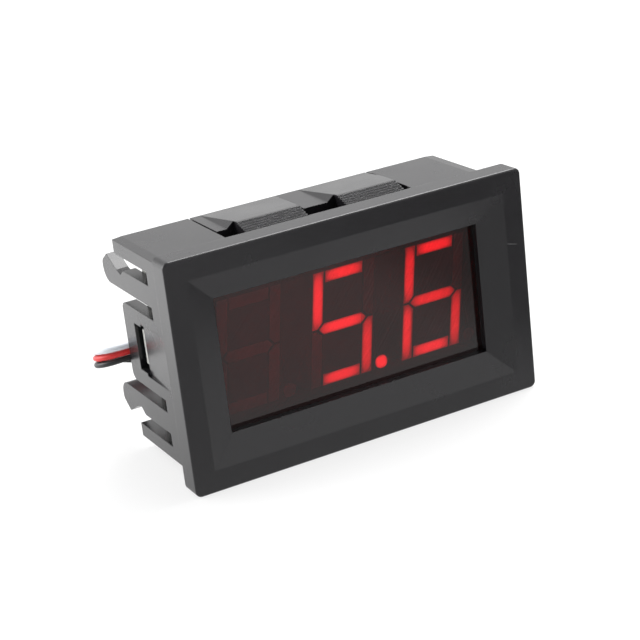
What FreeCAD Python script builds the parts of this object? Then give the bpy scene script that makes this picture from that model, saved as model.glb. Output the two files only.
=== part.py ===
"""Digital panel meter: snap-in moulded case, tinted window, three-digit display, board and leads.

Millimetres. +X is to the right, +Y runs from the front of the bezel into the panel, +Z is up.
The origin is under the middle of the meter, on the surface that the bezel's lower edge stands on.
Sketches are drawn from the middle of the bezel's front face, and every body is then moved to
that origin by its own placement.
"""
import FreeCAD, Part
import Sketcher
import math
import os
import re

# Driving sizes, in millimetres and degrees. One cell of the sheet each.
SIZES = {
    # Bezel and its picture-frame opening
    "bezel_width": 48.0,
    "bezel_height": 29.0,
    "bezel_thickness": 3.1,
    "bezel_corner": 0.8,
    "bezel_edge": 0.25,
    "rim_width": 2.7,
    "bevel_width": 3.4,
    "bevel_depth": 1.4,
    "front_wall": 2.4,
    # Box behind the bezel
    "body_width": 45.5,
    "body_height": 26.0,
    "body_depth": 18.2,
    "edge_run": 1.25,
    "edge_drop": 0.12,
    "side_wall": 1.6,
    "top_wall": 1.6,
    # Window and the frame that locates it
    "window_width": 38.2,
    "window_height": 19.4,
    "window_thickness": 2.0,
    "frame_wall": 0.9,
    "rib_place": 17.0,
    "rib_width": 1.4,
    "rib_height": 1.5,
    # Comb of each side wall: latch block, gap, hook arm, gap, corner strip
    "comb_front": 8.5,
    "block_half": 5.05,
    "block_corner": 1.0,
    "arm_low": 6.67,
    "arm_high": 9.4,
    "strip_low": 11.15,
    "overall_depth": 22.8,
    "hook_top": 10.4,
    "hook_slope": 1.75,
    "hook_nose": 1.2,
    "barb_length": 2.6,
    "heel_depth": 0.4,
    "notch_length": 1.3,
    "notch_depth": 0.78,
    "notch_slope": 1.15,
    "hook_round": 1.8,
    "nose_round": 0.9,
    "latch_front": 13.1,
    "latch_rear": 15.1,
    "latch_half": 3.0,
    "ramp_front": 6.2,
    "ramp_half": 3.35,
    "ramp_drop": 0.35,
    # Spring flap with two serrated wedges in the upper and the lower wall
    "flap_half": 12.65,
    "flap_slit": 0.25,
    "flap_front": 7.6,
    "flap_edge": 10.5,
    "ridge_place": 9.95,
    "ridge_rise": 0.8,
    "ridge_bevel": 1.0,
    "serrations": 5,
    "left_leg_start": -10.05,
    "left_leg_end": -1.6,
    "right_leg_start": 3.7,
    "right_leg_end": 11.9,
    # Display module
    "display_width": 37.6,
    "display_height": 19.0,
    "display_depth": 8.0,
    "digit_height": 14.2,
    "digit_width": 8.4,
    "digit_pitch": 12.8,
    "digit_shift": -0.7,
    "digit_slant": 8.5,
    "segment_width": 1.4,
    "segment_gap": 0.25,
    "point_radius": 0.85,
    "point_offset": 1.45,
    "point_lift": 0.75,
    "segment_play": 0.03,
    "die_space": 0.3,
    "die_size": 0.4,
    "die_thickness": 0.2,
    "substrate_width": 35.0,
    "substrate_height": 16.4,
    "substrate_thickness": 1.2,
    "pin_radius": 0.25,
    "pin_pitch": 2.54,
    "pin_row": 15.24,
    "pin_reach": 0.9,
    "pin_count": 6,
    # Circuit board
    "board_front": 13.2,
    "board_thickness": 1.2,
    "board_play": 0.15,
    "tab_half": 2.2,
    "tab_inset": 0.65,
    "joint_radius": 0.8,
    "joint_height": 0.6,
    "joint_collar": 0.12,
    "fit_play": 0.1,
    "solder_play": 0.02,
    # Controller chip
    "chip_place": 1.5,
    "chip_width": 9.9,
    "chip_height": 3.9,
    "chip_thickness": 1.4,
    "chip_standoff": 0.1,
    "lead_count": 8,
    "lead_pitch": 1.27,
    "lead_width": 0.42,
    "lead_thickness": 0.2,
    "lead_span": 6.0,
    "lead_foot": 0.7,
    # Regulator, diode, capacitors and resistors
    "regulator_x": -15.2,
    "regulator_z": 7.6,
    "regulator_width": 4.5,
    "regulator_height": 2.5,
    "regulator_thickness": 1.5,
    "regulator_lead": 0.45,
    "regulator_pitch": 1.5,
    "regulator_reach": 0.9,
    "diode_x": -15.0,
    "diode_z": -8.6,
    "diode_length": 4.3,
    "diode_width": 2.6,
    "diode_thickness": 2.1,
    "capacitor_x": -9.8,
    "capacitor_z": 4.2,
    "capacitor_length": 3.2,
    "capacitor_width": 1.6,
    "capacitor_thickness": 1.4,
    "resistor_x": -9.0,
    "resistor_z": -4.3,
    "resistor_length": 2.0,
    "resistor_width": 1.25,
    "resistor_thickness": 0.55,
    "resistor_pitch": 2.6,
    # Calibration trimmer
    "trimmer_x": -9.2,
    "trimmer_z": 0.2,
    "trimmer_width": 3.8,
    "trimmer_height": 3.6,
    "trimmer_thickness": 0.9,
    "rotor_radius": 1.45,
    "rotor_thickness": 0.6,
    "rotor_gap": 0.05,
    "rotor_play": 0.05,
    "pivot_radius": 0.45,
    "slot_width": 0.45,
    "slot_length": 2.0,
    "slot_depth": 0.3,
    # Leads
    "wire_diameter": 0.75,
    "wire_pitch": 0.8,
    "pad_x": -14.5,
    "pad_z": -1.93,
    "pad_pitch": 2.0,
    "pad_radius": 0.8,
    "pad_height": 1.2,
    "wire_length": 150.0,
    "coil_x": 0.0,
    "coil_mid_radius": 4.6,
    "coil_step": 0.85,
    "tip_diameter": 0.5,
    "tip_length": 3.0,
    "tip_bend": 1.8,
    "tip_turn": 120.0,
}

# Derived places, as expressions of the sizes above
BODY_X = "(body_width / 2)"
BODY_Z = "(body_height / 2)"
CAVITY_X = "(body_width / 2 - side_wall)"
CAVITY_Z = "(body_height / 2 - top_wall)"
DISPLAY_FRONT = "(front_wall + window_thickness)"
DISPLAY_REAR = "(front_wall + window_thickness + display_depth)"
SUBSTRATE_FRONT = "(front_wall + window_thickness + display_depth - substrate_thickness)"
BOARD_REAR = "(board_front + board_thickness)"

doc = FreeCAD.newDocument("panel_meter")
sheet = doc.addObject("Spreadsheet::Sheet", "Sheet")
for row, (alias, number) in enumerate(SIZES.items(), start=1):
    sheet.set(f"A{row}", str(number))
    sheet.setAlias(f"A{row}", alias)
doc.recompute()

nodes = []


def in_sheet(expression):
    """Point each size named in an expression at its cell."""
    return re.sub(r"[a-z][a-z_]+", lambda word: cell(word.group()), str(expression))


def cell(word):
    """Give a size's cell, and leave the name of a function as it is."""
    return f"Sheet.{word}" if word in SIZES else word


def value(expression):
    """Work an expression out as a plain number."""
    answer = sheet.evalExpression(in_sheet(expression))
    return float(getattr(answer, "Value", answer))


def bind(thing, path, expression):
    """Tie a property or a constraint to an expression of the sizes."""
    thing.setExpression(path, in_sheet(expression))


def place_in_part(thing):
    """Move a body from the bezel's front face to the part's own origin."""
    bind(thing, "Placement.Base.y", "-overall_depth / 2")
    bind(thing, "Placement.Base.z", "bezel_height / 2")


def new_body(node):
    """Start the body of one node."""
    body = doc.addObject("PartDesign::Body", node)
    body.Label = node
    body.AllowCompound = True
    place_in_part(body)
    nodes.append(body)
    return body


def draw(sketch, polygons=(), circles=()):
    """Draw closed outlines and circles, each point held by its own pair of expressions.

    A polygon is a list of (across, up) expressions, a circle an (across, up, radius) triple.
    """
    lines = []
    constraints = []
    formulas = []
    for corners in polygons:
        first = len(lines)
        count = len(corners)
        spots = [FreeCAD.Vector(value(across), value(up), 0) for across, up in corners]
        for place, (across, up) in enumerate(corners):
            following = (place + 1) % count
            lines.append(Part.LineSegment(spots[place], spots[following]))
            constraints.append(("Coincident", first + place, 2, first + following, 1))
            formulas.append(None)
            constraints.append(("DistanceX", -1, 1, first + place, 1, spots[place].x))
            formulas.append(across)
            constraints.append(("DistanceY", -1, 1, first + place, 1, spots[place].y))
            formulas.append(up)
    for across, up, radius in circles:
        number = len(lines)
        centre = FreeCAD.Vector(value(across), value(up), 0)
        lines.append(Part.Circle(centre, FreeCAD.Vector(0, 0, 1), value(radius)))
        constraints.append(("DistanceX", -1, 1, number, 3, centre.x))
        formulas.append(across)
        constraints.append(("DistanceY", -1, 1, number, 3, centre.y))
        formulas.append(up)
        constraints.append(("Radius", number, value(radius)))
        formulas.append(radius)
    sketch.addGeometry(lines, False)
    sketch.addConstraint([Sketcher.Constraint(*constraint) for constraint in constraints])
    for number, formula in enumerate(formulas):
        if formula is not None:
            bind(sketch, f"Constraints[{number}]", formula)


def rectangle(left, right, low, high):
    """Corners of an upright rectangle."""
    return [(left, low), (right, low), (right, high), (left, high)]


def centred(width, height):
    """Corners of a rectangle about the middle of the meter."""
    return rectangle(f"-({width}) / 2", f"({width}) / 2", f"-({height}) / 2", f"({height}) / 2")


def around(across, up, width, height):
    """Corners of a rectangle about a given place."""
    return rectangle(f"{across} - ({width}) / 2", f"{across} + ({width}) / 2",
                     f"{up} - ({height}) / 2", f"{up} + ({height}) / 2")


def flipped(corners):
    """Mirror an outline top to bottom."""
    return [(across, f"-({up})") for across, up in reversed(corners)]


# Sign of each origin plane's own normal along the axis that it faces
PLANE_SIGN = {"XY_Plane": 1, "XZ_Plane": -1, "YZ_Plane": 1}


def new_sketch(body, plane, start, name):
    """Attach a sketch to an origin plane of its body, moved out to start."""
    sketch = body.newObject("Sketcher::SketchObject", name)
    origin_plane = [item for item in body.Origin.OriginFeatures if item.Role == plane][0]
    sketch.AttachmentSupport = [(origin_plane, "")]
    sketch.MapMode = "FlatFace"
    bind(sketch, "AttachmentOffset.Base.z", f"{PLANE_SIGN[plane]} * ({start})")
    return sketch


def extrude(body, kind, plane, start, end, name, polygons=(), circles=()):
    """Pad or pocket outlines from start to end along the axis that the plane faces."""
    sketch = new_sketch(body, plane, start, f"{body.Name}_{name}_sketch")
    draw(sketch, polygons, circles)
    feature = body.newObject(f"PartDesign::{kind}", f"{body.Name}_{name}")
    feature.Profile = sketch
    bind(feature, "Length", f"({end}) - ({start})")
    feature.Reversed = (PLANE_SIGN[plane] < 0) == (kind == "Pad")
    sketch.Visibility = False
    return feature


def pad(body, plane, start, end, name, polygons=(), circles=()):
    """Add material between two places."""
    return extrude(body, "Pad", plane, start, end, name, polygons, circles)


def pocket(body, plane, start, end, name, polygons=(), circles=()):
    """Cut material away between two places, and check that something was cut."""
    doc.recompute()
    before = body.Shape.Volume
    feature = extrude(body, "Pocket", plane, start, end, name, polygons, circles)
    doc.recompute()
    if body.Shape.Volume > before - 1e-6:
        raise RuntimeError(f"{feature.Name} cuts nothing")
    return feature


def mound(body, across, up, height, outer, inner, bore, name):
    """Turn a solder mound on the back of the board, round an axis that runs into the panel."""
    sketch = new_sketch(body, "XY_Plane", up, f"{body.Name}_{name}_sketch")
    bind(sketch, "AttachmentOffset.Base.x", across)
    top = f"({BOARD_REAR} + {height})"
    draw(sketch, [[(bore, BOARD_REAR), (outer, BOARD_REAR), (inner, top), (bore, top)]])
    feature = body.newObject("PartDesign::Revolution", f"{body.Name}_{name}")
    feature.Profile = sketch
    feature.ReferenceAxis = (sketch, ["V_Axis"])
    feature.Angle = 360
    sketch.Visibility = False
    return feature


def mirror(body, plane, originals, name):
    """Repeat features on the other side of one of the body's origin planes."""
    feature = body.newObject("PartDesign::Mirrored", f"{body.Name}_{name}")
    feature.Originals = originals
    origin_plane = [item for item in body.Origin.OriginFeatures if item.Role == plane][0]
    feature.MirrorPlane = (origin_plane, [""])
    body.Tip = feature
    return feature


def repeat(body, originals, pitch, count, name):
    """Repeat features along X."""
    feature = body.newObject("PartDesign::LinearPattern", f"{body.Name}_{name}")
    feature.Originals = originals
    axis = [item for item in body.Origin.OriginFeatures if item.Role == "X_Axis"][0]
    feature.Direction = (axis, [""])
    bind(feature, "Length", f"({count} - 1) * {pitch}")
    bind(feature, "Occurrences", count)
    body.Tip = feature
    return feature


def edges_along(body, axis, spots):
    """Names of the straight edges parallel to an axis that pass through given places."""
    doc.recompute()
    shape = body.Tip.Shape
    names = []
    for number, edge in enumerate(shape.Edges, start=1):
        ends = [vertex.Point for vertex in edge.Vertexes]
        if len(ends) != 2 or (ends[1] - ends[0]).cross(axis).Length > 1e-4:
            continue
        for spot in spots:
            if (ends[0] - spot).cross(axis).Length < 1e-3:
                names.append(f"Edge{number}")
    return names


def soften(body, kind, edges, size_property, size, name):
    """Fillet or chamfer named edges of the body's latest feature."""
    base = body.Tip
    feature = body.newObject(f"PartDesign::{kind}", f"{body.Name}_{name}")
    feature.Base = (base, edges)
    bind(feature, size_property, size)
    return feature


def rectangle_edges(body, half_across, half_up):
    """Names of the four edges that run into the panel at the corners of a rectangle."""
    across = value(half_across)
    up = value(half_up)
    spots = [FreeCAD.Vector(side * across, 0, level * up) for side in (-1, 1) for level in (-1, 1)]
    return edges_along(body, FreeCAD.Vector(0, 1, 0), spots)


def hook_outline():
    """Side view of the upper hook arm, from its root in the wall to its barb."""
    root = "comb_front - side_wall / 2"
    tip = "(overall_depth - hook_slope)"
    heel = f"({tip} - barb_length)"
    notch = f"({heel} - notch_length)"
    return [
        (root, "arm_low"),
        ("overall_depth", "arm_low"),
        ("overall_depth", "hook_top - hook_nose"),
        (tip, "hook_top"),
        (heel, "arm_high - heel_depth"),
        (notch, "arm_high - notch_depth"),
        (f"{notch} - notch_slope", "arm_high"),
        (root, "arm_high"),
    ]


def wedge_outline():
    """Side view of a wedge: stairs up to the ridge, then a long slope down to the rear."""
    steps = int(SIZES["serrations"])
    run = f"(ridge_place - flap_front) / {steps}"
    rise = f"ridge_rise / {steps}"
    corners = [("flap_front", f"{BODY_Z} - top_wall / 2")]
    for step in range(steps):
        level = f"{BODY_Z} + {step + 1} * {rise}"
        corners.append((f"flap_front + {step} * {run}", level))
        corners.append((f"flap_front + {step + 1} * {run}", level))
    corners.append(("body_depth", BODY_Z))
    corners.append(("body_depth", f"{BODY_Z} - top_wall / 2"))
    return corners


def ridge_bevels():
    """End views of the two slopes that close each wedge at its ends."""
    over = 1.25
    top = f"{BODY_Z} + {over} * ridge_rise"
    slopes = []
    for start, end in (("left_leg_start", "left_leg_end"), ("right_leg_start", "right_leg_end")):
        low_end = f"({start} - ridge_bevel)"
        slopes.append([(low_end, BODY_Z), (f"{low_end} + {over} * ridge_bevel", top),
                       (low_end, top)])
        high_end = f"({end} + ridge_bevel)"
        slopes.append([(high_end, BODY_Z), (high_end, top),
                       (f"{high_end} - {over} * ridge_bevel", top)])
    return slopes


def flap_cuts():
    """Plan of the slits and holes that free the flap, open at the rear."""
    behind = "body_depth + top_wall"
    inner = "(flap_half - flap_slit)"
    left_cut = [("-flap_half", "flap_front"), ("left_leg_start", "flap_front"),
                ("left_leg_start", "flap_edge"), (f"-{inner}", "flap_edge"),
                (f"-{inner}", behind), ("-flap_half", behind)]
    right_cut = [("right_leg_end", "flap_front"), ("flap_half", "flap_front"),
                 ("flap_half", behind), (inner, behind),
                 (inner, "flap_edge"), ("right_leg_end", "flap_edge")]
    middle_cut = rectangle("left_leg_end", "right_leg_start", "flap_front", "flap_edge")
    return [left_cut, right_cut, middle_cut]


def box_outline():
    """End view of the box, whose upper and lower faces fall away a little at their ends."""
    shoulder = f"({BODY_X} - edge_run)"
    eave = f"({BODY_Z} - edge_drop)"
    right = [(shoulder, f"-{BODY_Z}"), (BODY_X, f"-{eave}"), (BODY_X, eave), (shoulder, BODY_Z)]
    return right + [(f"-{across}", up) for across, up in reversed(right)]


def make_housing():
    """One moulding: bezel, box, combed sides with hooks and latches, flaps with wedges."""
    body = new_body("housing")
    pad(body, "XZ_Plane", "0", "bezel_thickness", "bezel",
        [centred("bezel_width", "bezel_height")])
    corner_edges = rectangle_edges(body, "bezel_width / 2", "bezel_height / 2")
    soften(body, "Fillet", corner_edges, "Radius", "bezel_corner", "corners")
    doc.recompute()
    front = [f"Edge{number}" for number, edge in enumerate(body.Shape.Edges, start=1)
             if edge.BoundBox.YMax < body.Placement.Base.y + 1e-6]
    soften(body, "Fillet", front, "Radius", "bezel_edge", "front_edge")
    pad(body, "XZ_Plane", "bezel_thickness", "body_depth", "box", [box_outline()])
    pocket(body, "XZ_Plane", "front_wall", "body_depth", "cavity",
           [rectangle(f"-{CAVITY_X}", CAVITY_X, f"-{CAVITY_Z}", CAVITY_Z)])
    rim = "2 * rim_width"
    sill = "2 * (rim_width + bevel_width)"
    pocket(body, "XZ_Plane", "0", "front_wall", "opening",
           [centred(f"bezel_width - {sill}", f"bezel_height - {sill}")])
    cut_bevel(body, rim, sill)
    frame_width = "window_width + 2 * fit_play"
    frame_height = "window_height + 2 * fit_play"
    pad(body, "XZ_Plane", "front_wall", DISPLAY_FRONT, "window_frame",
        [centred(f"{frame_width} + 2 * frame_wall", f"{frame_height} + 2 * frame_wall"),
         centred(frame_width, frame_height)])
    ribs = [around(f"({side} * rib_place)", f"({level} * ({CAVITY_Z} - rib_height / 2))",
                   "rib_width", "rib_height")
            for side in (-1, 1) for level in (-1, 1)]
    pad(body, "XZ_Plane", "front_wall", "board_front", "ribs", ribs)
    make_comb(body)
    make_flaps(body)
    return body


def cut_bevel(body, rim, sill):
    """Mitred slope that runs in from the rim to the opening."""
    outer = new_sketch(body, "XZ_Plane", "0", "housing_bevel_outer")
    draw(outer, [centred(f"bezel_width - {rim}", f"bezel_height - {rim}")])
    inner = new_sketch(body, "XZ_Plane", "bevel_depth", "housing_bevel_inner")
    draw(inner, [centred(f"bezel_width - {sill}", f"bezel_height - {sill}")])
    bevel = body.newObject("PartDesign::SubtractiveLoft", "housing_bevel")
    bevel.Profile = outer
    bevel.Sections = [inner]
    bevel.Ruled = True


def make_comb(body):
    """Cut each side wall into a latch block, two hook arms and two corner strips."""
    outside = f"({BODY_X} + side_wall)"
    gap = rectangle("comb_front", "body_depth + side_wall", "block_half", "strip_low")
    gaps = pocket(body, "YZ_Plane", CAVITY_X, outside, "comb_gaps", [gap, flipped(gap)])
    hook = hook_outline()
    arms = pad(body, "YZ_Plane", CAVITY_X, BODY_X, "hook_arms", [hook, flipped(hook)])
    slot = rectangle("latch_front", "latch_rear", "-latch_half", "latch_half")
    latch = pocket(body, "YZ_Plane", CAVITY_X, outside, "latch_slot", [slot])
    slope = [(BODY_X, "ramp_front"), (outside, "ramp_front"), (outside, "latch_front"),
             (f"{BODY_X} - ramp_drop", "latch_front")]
    ramp = pocket(body, "XY_Plane", "-ramp_half", "ramp_half", "latch_ramp", [slope])
    mirror(body, "YZ_Plane", [gaps, arms, latch, ramp], "left_comb")
    across = FreeCAD.Vector(1, 0, 0)
    levels = (-1, 1)
    rear = value("body_depth")
    corners = [FreeCAD.Vector(0, rear, level * value("block_half")) for level in levels]
    soften(body, "Fillet", edges_along(body, across, corners), "Radius", "block_corner",
           "block_corners")
    back = value("overall_depth")
    for place, size, name in (("arm_low", "hook_round", "hook_bends"),
                              ("hook_top - hook_nose", "nose_round", "hook_noses")):
        bends = [FreeCAD.Vector(0, back, level * value(place)) for level in levels]
        soften(body, "Fillet", edges_along(body, across, bends), "Radius", size, name)


def make_flaps(body):
    """Free a spring flap in the upper and lower wall, with its two serrated wedges."""
    wedge = wedge_outline()
    left = pad(body, "YZ_Plane", "left_leg_start - ridge_bevel", "left_leg_end + ridge_bevel",
               "left_wedge", [wedge])
    right = pad(body, "YZ_Plane", "right_leg_start - ridge_bevel", "right_leg_end + ridge_bevel",
                "right_wedge", [wedge])
    slopes = pocket(body, "XZ_Plane", "flap_front - top_wall", "body_depth + top_wall",
                    "ridge_ends", ridge_bevels())
    cuts = pocket(body, "XY_Plane", f"{CAVITY_Z} - top_wall", f"{BODY_Z} + 2 * ridge_rise",
                  "flap_cuts", flap_cuts())
    mirror(body, "XY_Plane", [left, right, slopes, cuts], "lower_flap")


def make_window():
    """Tinted window, held in its frame behind the opening."""
    body = new_body("window_filter")
    pad(body, "XZ_Plane", "front_wall", DISPLAY_FRONT, "pane",
        [centred("window_width", "window_height")])


# Outline of each segment before slanting: places across from the digit's left edge, and up
WIDE = "digit_width"
TALL = "(digit_height / 2)"
BAR = "segment_width"
GAP = "segment_gap"
TIP = "(segment_width / 2 + segment_gap)"
UPRIGHT = [("0", f"{GAP} / 2"), (f"{BAR} / 2", f"{GAP} / 2"), (BAR, f"{GAP} / 2 + {BAR} / 2"),
           (BAR, TALL), ("0", TALL)]
LEVEL = [(f"{BAR} + {GAP}", f"{TALL} - {BAR}"), (f"{WIDE} - {BAR} - {GAP}", f"{TALL} - {BAR}"),
         (f"{WIDE} - {BAR} - {GAP}", TALL), (f"{BAR} + {GAP}", TALL)]
MIDDLE = [(TIP, "0"), (f"{TIP} + {BAR} / 2", f"-{BAR} / 2"),
          (f"{WIDE} - {TIP} - {BAR} / 2", f"-{BAR} / 2"), (f"{WIDE} - {TIP}", "0"),
          (f"{WIDE} - {TIP} - {BAR} / 2", f"{BAR} / 2"), (f"{TIP} + {BAR} / 2", f"{BAR} / 2")]


def turned(corners):
    """Mirror an outline left to right within the digit."""
    return [(f"{WIDE} - ({across})", up) for across, up in reversed(corners)]


SEGMENTS = {
    "top": LEVEL,
    "upper_right": turned(UPRIGHT),
    "lower_right": flipped(turned(UPRIGHT)),
    "bottom": flipped(LEVEL),
    "lower_left": flipped(UPRIGHT),
    "upper_left": UPRIGHT,
    "middle": MIDDLE,
}
DIGITS = {"left": -1, "centre": 0, "right": 1}


def slanted(digit, corners):
    """Lean a segment's outline over and move it to its digit."""
    start = f"digit_shift + {digit} * digit_pitch - {WIDE} / 2"
    return [(f"{start} + ({across}) + ({up}) * tan(digit_slant)", up) for across, up in corners]


def point_place(digit):
    """Centre of a digit's decimal point."""
    up = f"(point_lift - {TALL})"
    across = (f"digit_shift + {digit} * digit_pitch + {WIDE} / 2 + point_offset"
              f" + {up} * tan(digit_slant)")
    return across, up


def make_display():
    """Reflector case, its clear segment fillings, the substrate with dice, and the pins."""
    case = new_body("display_case")
    pad(case, "XZ_Plane", DISPLAY_FRONT, DISPLAY_REAR, "block",
        [centred("display_width", "display_height")])
    pocket(case, "XZ_Plane", SUBSTRATE_FRONT, DISPLAY_REAR, "substrate_seat",
           [centred("substrate_width + 2 * fit_play", "substrate_height + 2 * fit_play")])
    for digit_name, digit in DIGITS.items():
        wells = [slanted(digit, corners) for corners in SEGMENTS.values()]
        point_well = (*point_place(digit), "point_radius + segment_play")
        pocket(case, "XZ_Plane", DISPLAY_FRONT, SUBSTRATE_FRONT, f"{digit_name}_wells",
               wells, [point_well])
    rim = "((display_width - substrate_width) / 2 - fit_play)"
    feet = [around(f"({side} * (display_width - {rim}) / 2)",
                   f"({level} * (display_height - {rim}) / 2)", rim, rim)
            for side in (-1, 1) for level in (-1, 1)]
    pad(case, "XZ_Plane", DISPLAY_REAR, "board_front", "feet", feet)

    filling_rear = f"({SUBSTRATE_FRONT} - die_space)"
    for digit_name, digit in DIGITS.items():
        for segment_name, corners in SEGMENTS.items():
            segment = new_body(f"{digit_name}_{segment_name}")
            pad(segment, "XZ_Plane", DISPLAY_FRONT, filling_rear, "filling",
                [slanted(digit, corners)])
        point = new_body(f"{digit_name}_point")
        pad(point, "XZ_Plane", DISPLAY_FRONT, filling_rear, "filling",
            circles=[(*point_place(digit), "point_radius")])

    substrate = new_body("display_substrate")
    pad(substrate, "XZ_Plane", SUBSTRATE_FRONT, DISPLAY_REAR, "plate",
        [centred("substrate_width", "substrate_height")])
    pins = new_body("display_pins")
    pad(pins, "XZ_Plane", DISPLAY_REAR, f"{BOARD_REAR} + pin_reach", "pins",
        circles=[(across, up, "pin_radius") for across, up in pin_places()])


def make_dice():
    """Light-emitting dice, one under each segment and point."""
    dice = new_body("led_dice")
    spots = [die_spot(digit, corners) for digit in DIGITS.values()
             for corners in SEGMENTS.values()]
    spots += [point_place(digit) for digit in DIGITS.values()]
    pad(dice, "XZ_Plane", f"{SUBSTRATE_FRONT} - die_thickness", SUBSTRATE_FRONT, "dice",
        [around(f"({across})", f"({up})", "die_size", "die_size") for across, up in spots])


def die_spot(digit, corners):
    """Middle of a segment, where its die sits."""
    count = len(corners)
    leaning = slanted(digit, corners)
    across = " + ".join(f"({spot[0]})" for spot in leaning)
    up = " + ".join(f"({spot[1]})" for spot in leaning)
    return f"({across}) / {count}", f"({up}) / {count}"


def pin_places():
    """Two rows of display pins."""
    count = int(SIZES["pin_count"])
    return [(f"({number} - {(count - 1) / 2}) * pin_pitch", f"{level} * pin_row / 2")
            for level in (-1, 1) for number in range(count)]


def make_board():
    """Circuit board with a tab at each side that sits in the housing's latch slot."""
    board = new_body("circuit_board")
    half_x = f"({CAVITY_X} - board_play)"
    half_z = f"({CAVITY_Z} - board_play)"
    reach = f"({BODY_X} - tab_inset)"
    right = [(half_x, f"-{half_z}"), (half_x, "-tab_half"), (reach, "-tab_half"),
             (reach, "tab_half"), (half_x, "tab_half"), (half_x, half_z)]
    left = [(f"-{across}", up) for across, up in reversed(right)]
    holes = [(across, up, "pin_radius + fit_play") for across, up in pin_places()]
    pad(board, "XZ_Plane", "board_front", BOARD_REAR, "plate", [right + left], holes)

    joints = new_body("pin_joints")
    lower, upper = pin_places()[0], pin_places()[int(SIZES["pin_count"])]
    mounds = [mound(joints, *spot, "joint_height", "joint_radius", "pin_radius + joint_collar",
                    "pin_radius + solder_play", name)
              for spot, name in ((lower, "lower_mound"), (upper, "upper_mound"))]
    repeat(joints, mounds, "pin_pitch", "pin_count", "rows")


def make_controller():
    """Controller chip and its sixteen gull-wing leads."""
    chip = new_body("controller_body")
    seat = f"({BOARD_REAR} + chip_standoff)"
    pad(chip, "XZ_Plane", seat, f"{seat} + chip_thickness", "block",
        [around("chip_place", "0", "chip_width", "chip_height")])
    leads = new_body("controller_leads")
    mid = f"({seat} + chip_thickness / 2)"
    inner = "(chip_height / 2)"
    outer = "(lead_span / 2)"
    knee = "(lead_span / 2 - lead_foot)"
    low = f"({BOARD_REAR} + lead_thickness)"
    wing = [(BOARD_REAR, outer), (BOARD_REAR, knee),
            (f"{mid} - lead_thickness", f"{knee} - lead_thickness"),
            (f"{mid} - lead_thickness", inner), (mid, inner), (mid, knee),
            (low, f"{knee} + lead_thickness"), (low, outer)]
    start = "chip_place - (lead_count - 1) / 2 * lead_pitch"
    first = pad(leads, "YZ_Plane", f"{start} - lead_width / 2", f"{start} + lead_width / 2",
                "lead", [wing, flipped(wing)])
    repeat(leads, [first], "lead_pitch", "lead_count", "row")


def make_small_parts():
    """Regulator, diode, capacitors and resistors on the back of the board."""
    regulator = new_body("regulator_body")
    pad(regulator, "XZ_Plane", BOARD_REAR, f"{BOARD_REAR} + regulator_thickness", "block",
        [around("regulator_x", "regulator_z", "regulator_width", "regulator_height")])
    leads = new_body("regulator_leads")
    edge = "(regulator_z - regulator_height / 2)"
    feet = [rectangle(f"regulator_x + {place} * regulator_pitch - regulator_lead / 2",
                      f"regulator_x + {place} * regulator_pitch + regulator_lead / 2",
                      f"{edge} - regulator_reach", edge) for place in (-1, 0, 1)]
    pad(leads, "XZ_Plane", BOARD_REAR, f"{BOARD_REAR} + regulator_lead", "feet", feet)
    diode = new_body("diode")
    pad(diode, "XZ_Plane", BOARD_REAR, f"{BOARD_REAR} + diode_thickness", "block",
        [around("diode_x", "diode_z", "diode_length", "diode_width")])
    for name, side in (("upper_capacitor", 0), ("outer_capacitor", -1)):
        capacitor = new_body(name)
        across = f"(capacitor_x + {side} * (capacitor_length + capacitor_width))"
        pad(capacitor, "XZ_Plane", BOARD_REAR, f"{BOARD_REAR} + capacitor_thickness", "block",
            [around(across, "capacitor_z", "capacitor_length", "capacitor_width")])
    for number in range(4):
        resistor = new_body(f"resistor_{number + 1}")
        across = f"(resistor_x + {number} * resistor_pitch)"
        pad(resistor, "XZ_Plane", BOARD_REAR, f"{BOARD_REAR} + resistor_thickness", "block",
            [around(across, "resistor_z", "resistor_width", "resistor_length")])


def make_trimmer():
    """Calibration trimmer: a base with a pivot, and a slotted rotor that turns on it."""
    base = new_body("trimmer_base")
    top = f"({BOARD_REAR} + trimmer_thickness)"
    rotor_low = f"({top} + rotor_gap)"
    rotor_high = f"({rotor_low} + rotor_thickness)"
    slot_floor = f"({rotor_high} - slot_depth)"
    pad(base, "XZ_Plane", BOARD_REAR, top, "block",
        [around("trimmer_x", "trimmer_z", "trimmer_width", "trimmer_height")])
    pad(base, "XZ_Plane", top, slot_floor, "pivot",
        circles=[("trimmer_x", "trimmer_z", "pivot_radius")])
    rotor = new_body("trimmer_rotor")
    pad(rotor, "XZ_Plane", rotor_low, rotor_high, "disc",
        circles=[("trimmer_x", "trimmer_z", "rotor_radius")])
    pocket(rotor, "XZ_Plane", slot_floor, rotor_high, "slot",
           [around("trimmer_x", "trimmer_z", "slot_length", "slot_width")])
    pocket(rotor, "XZ_Plane", slot_floor, rotor_high, "cross_slot",
           [around("trimmer_x", "trimmer_z", "slot_width", "slot_length")])
    pocket(rotor, "XZ_Plane", rotor_low, slot_floor, "bore",
           circles=[("trimmer_x", "trimmer_z", "pivot_radius + rotor_play")])


# Each lead's colour and its level in the flat three-core lead
LEADS = {"white": 1, "red": 0, "black": -1}

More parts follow.
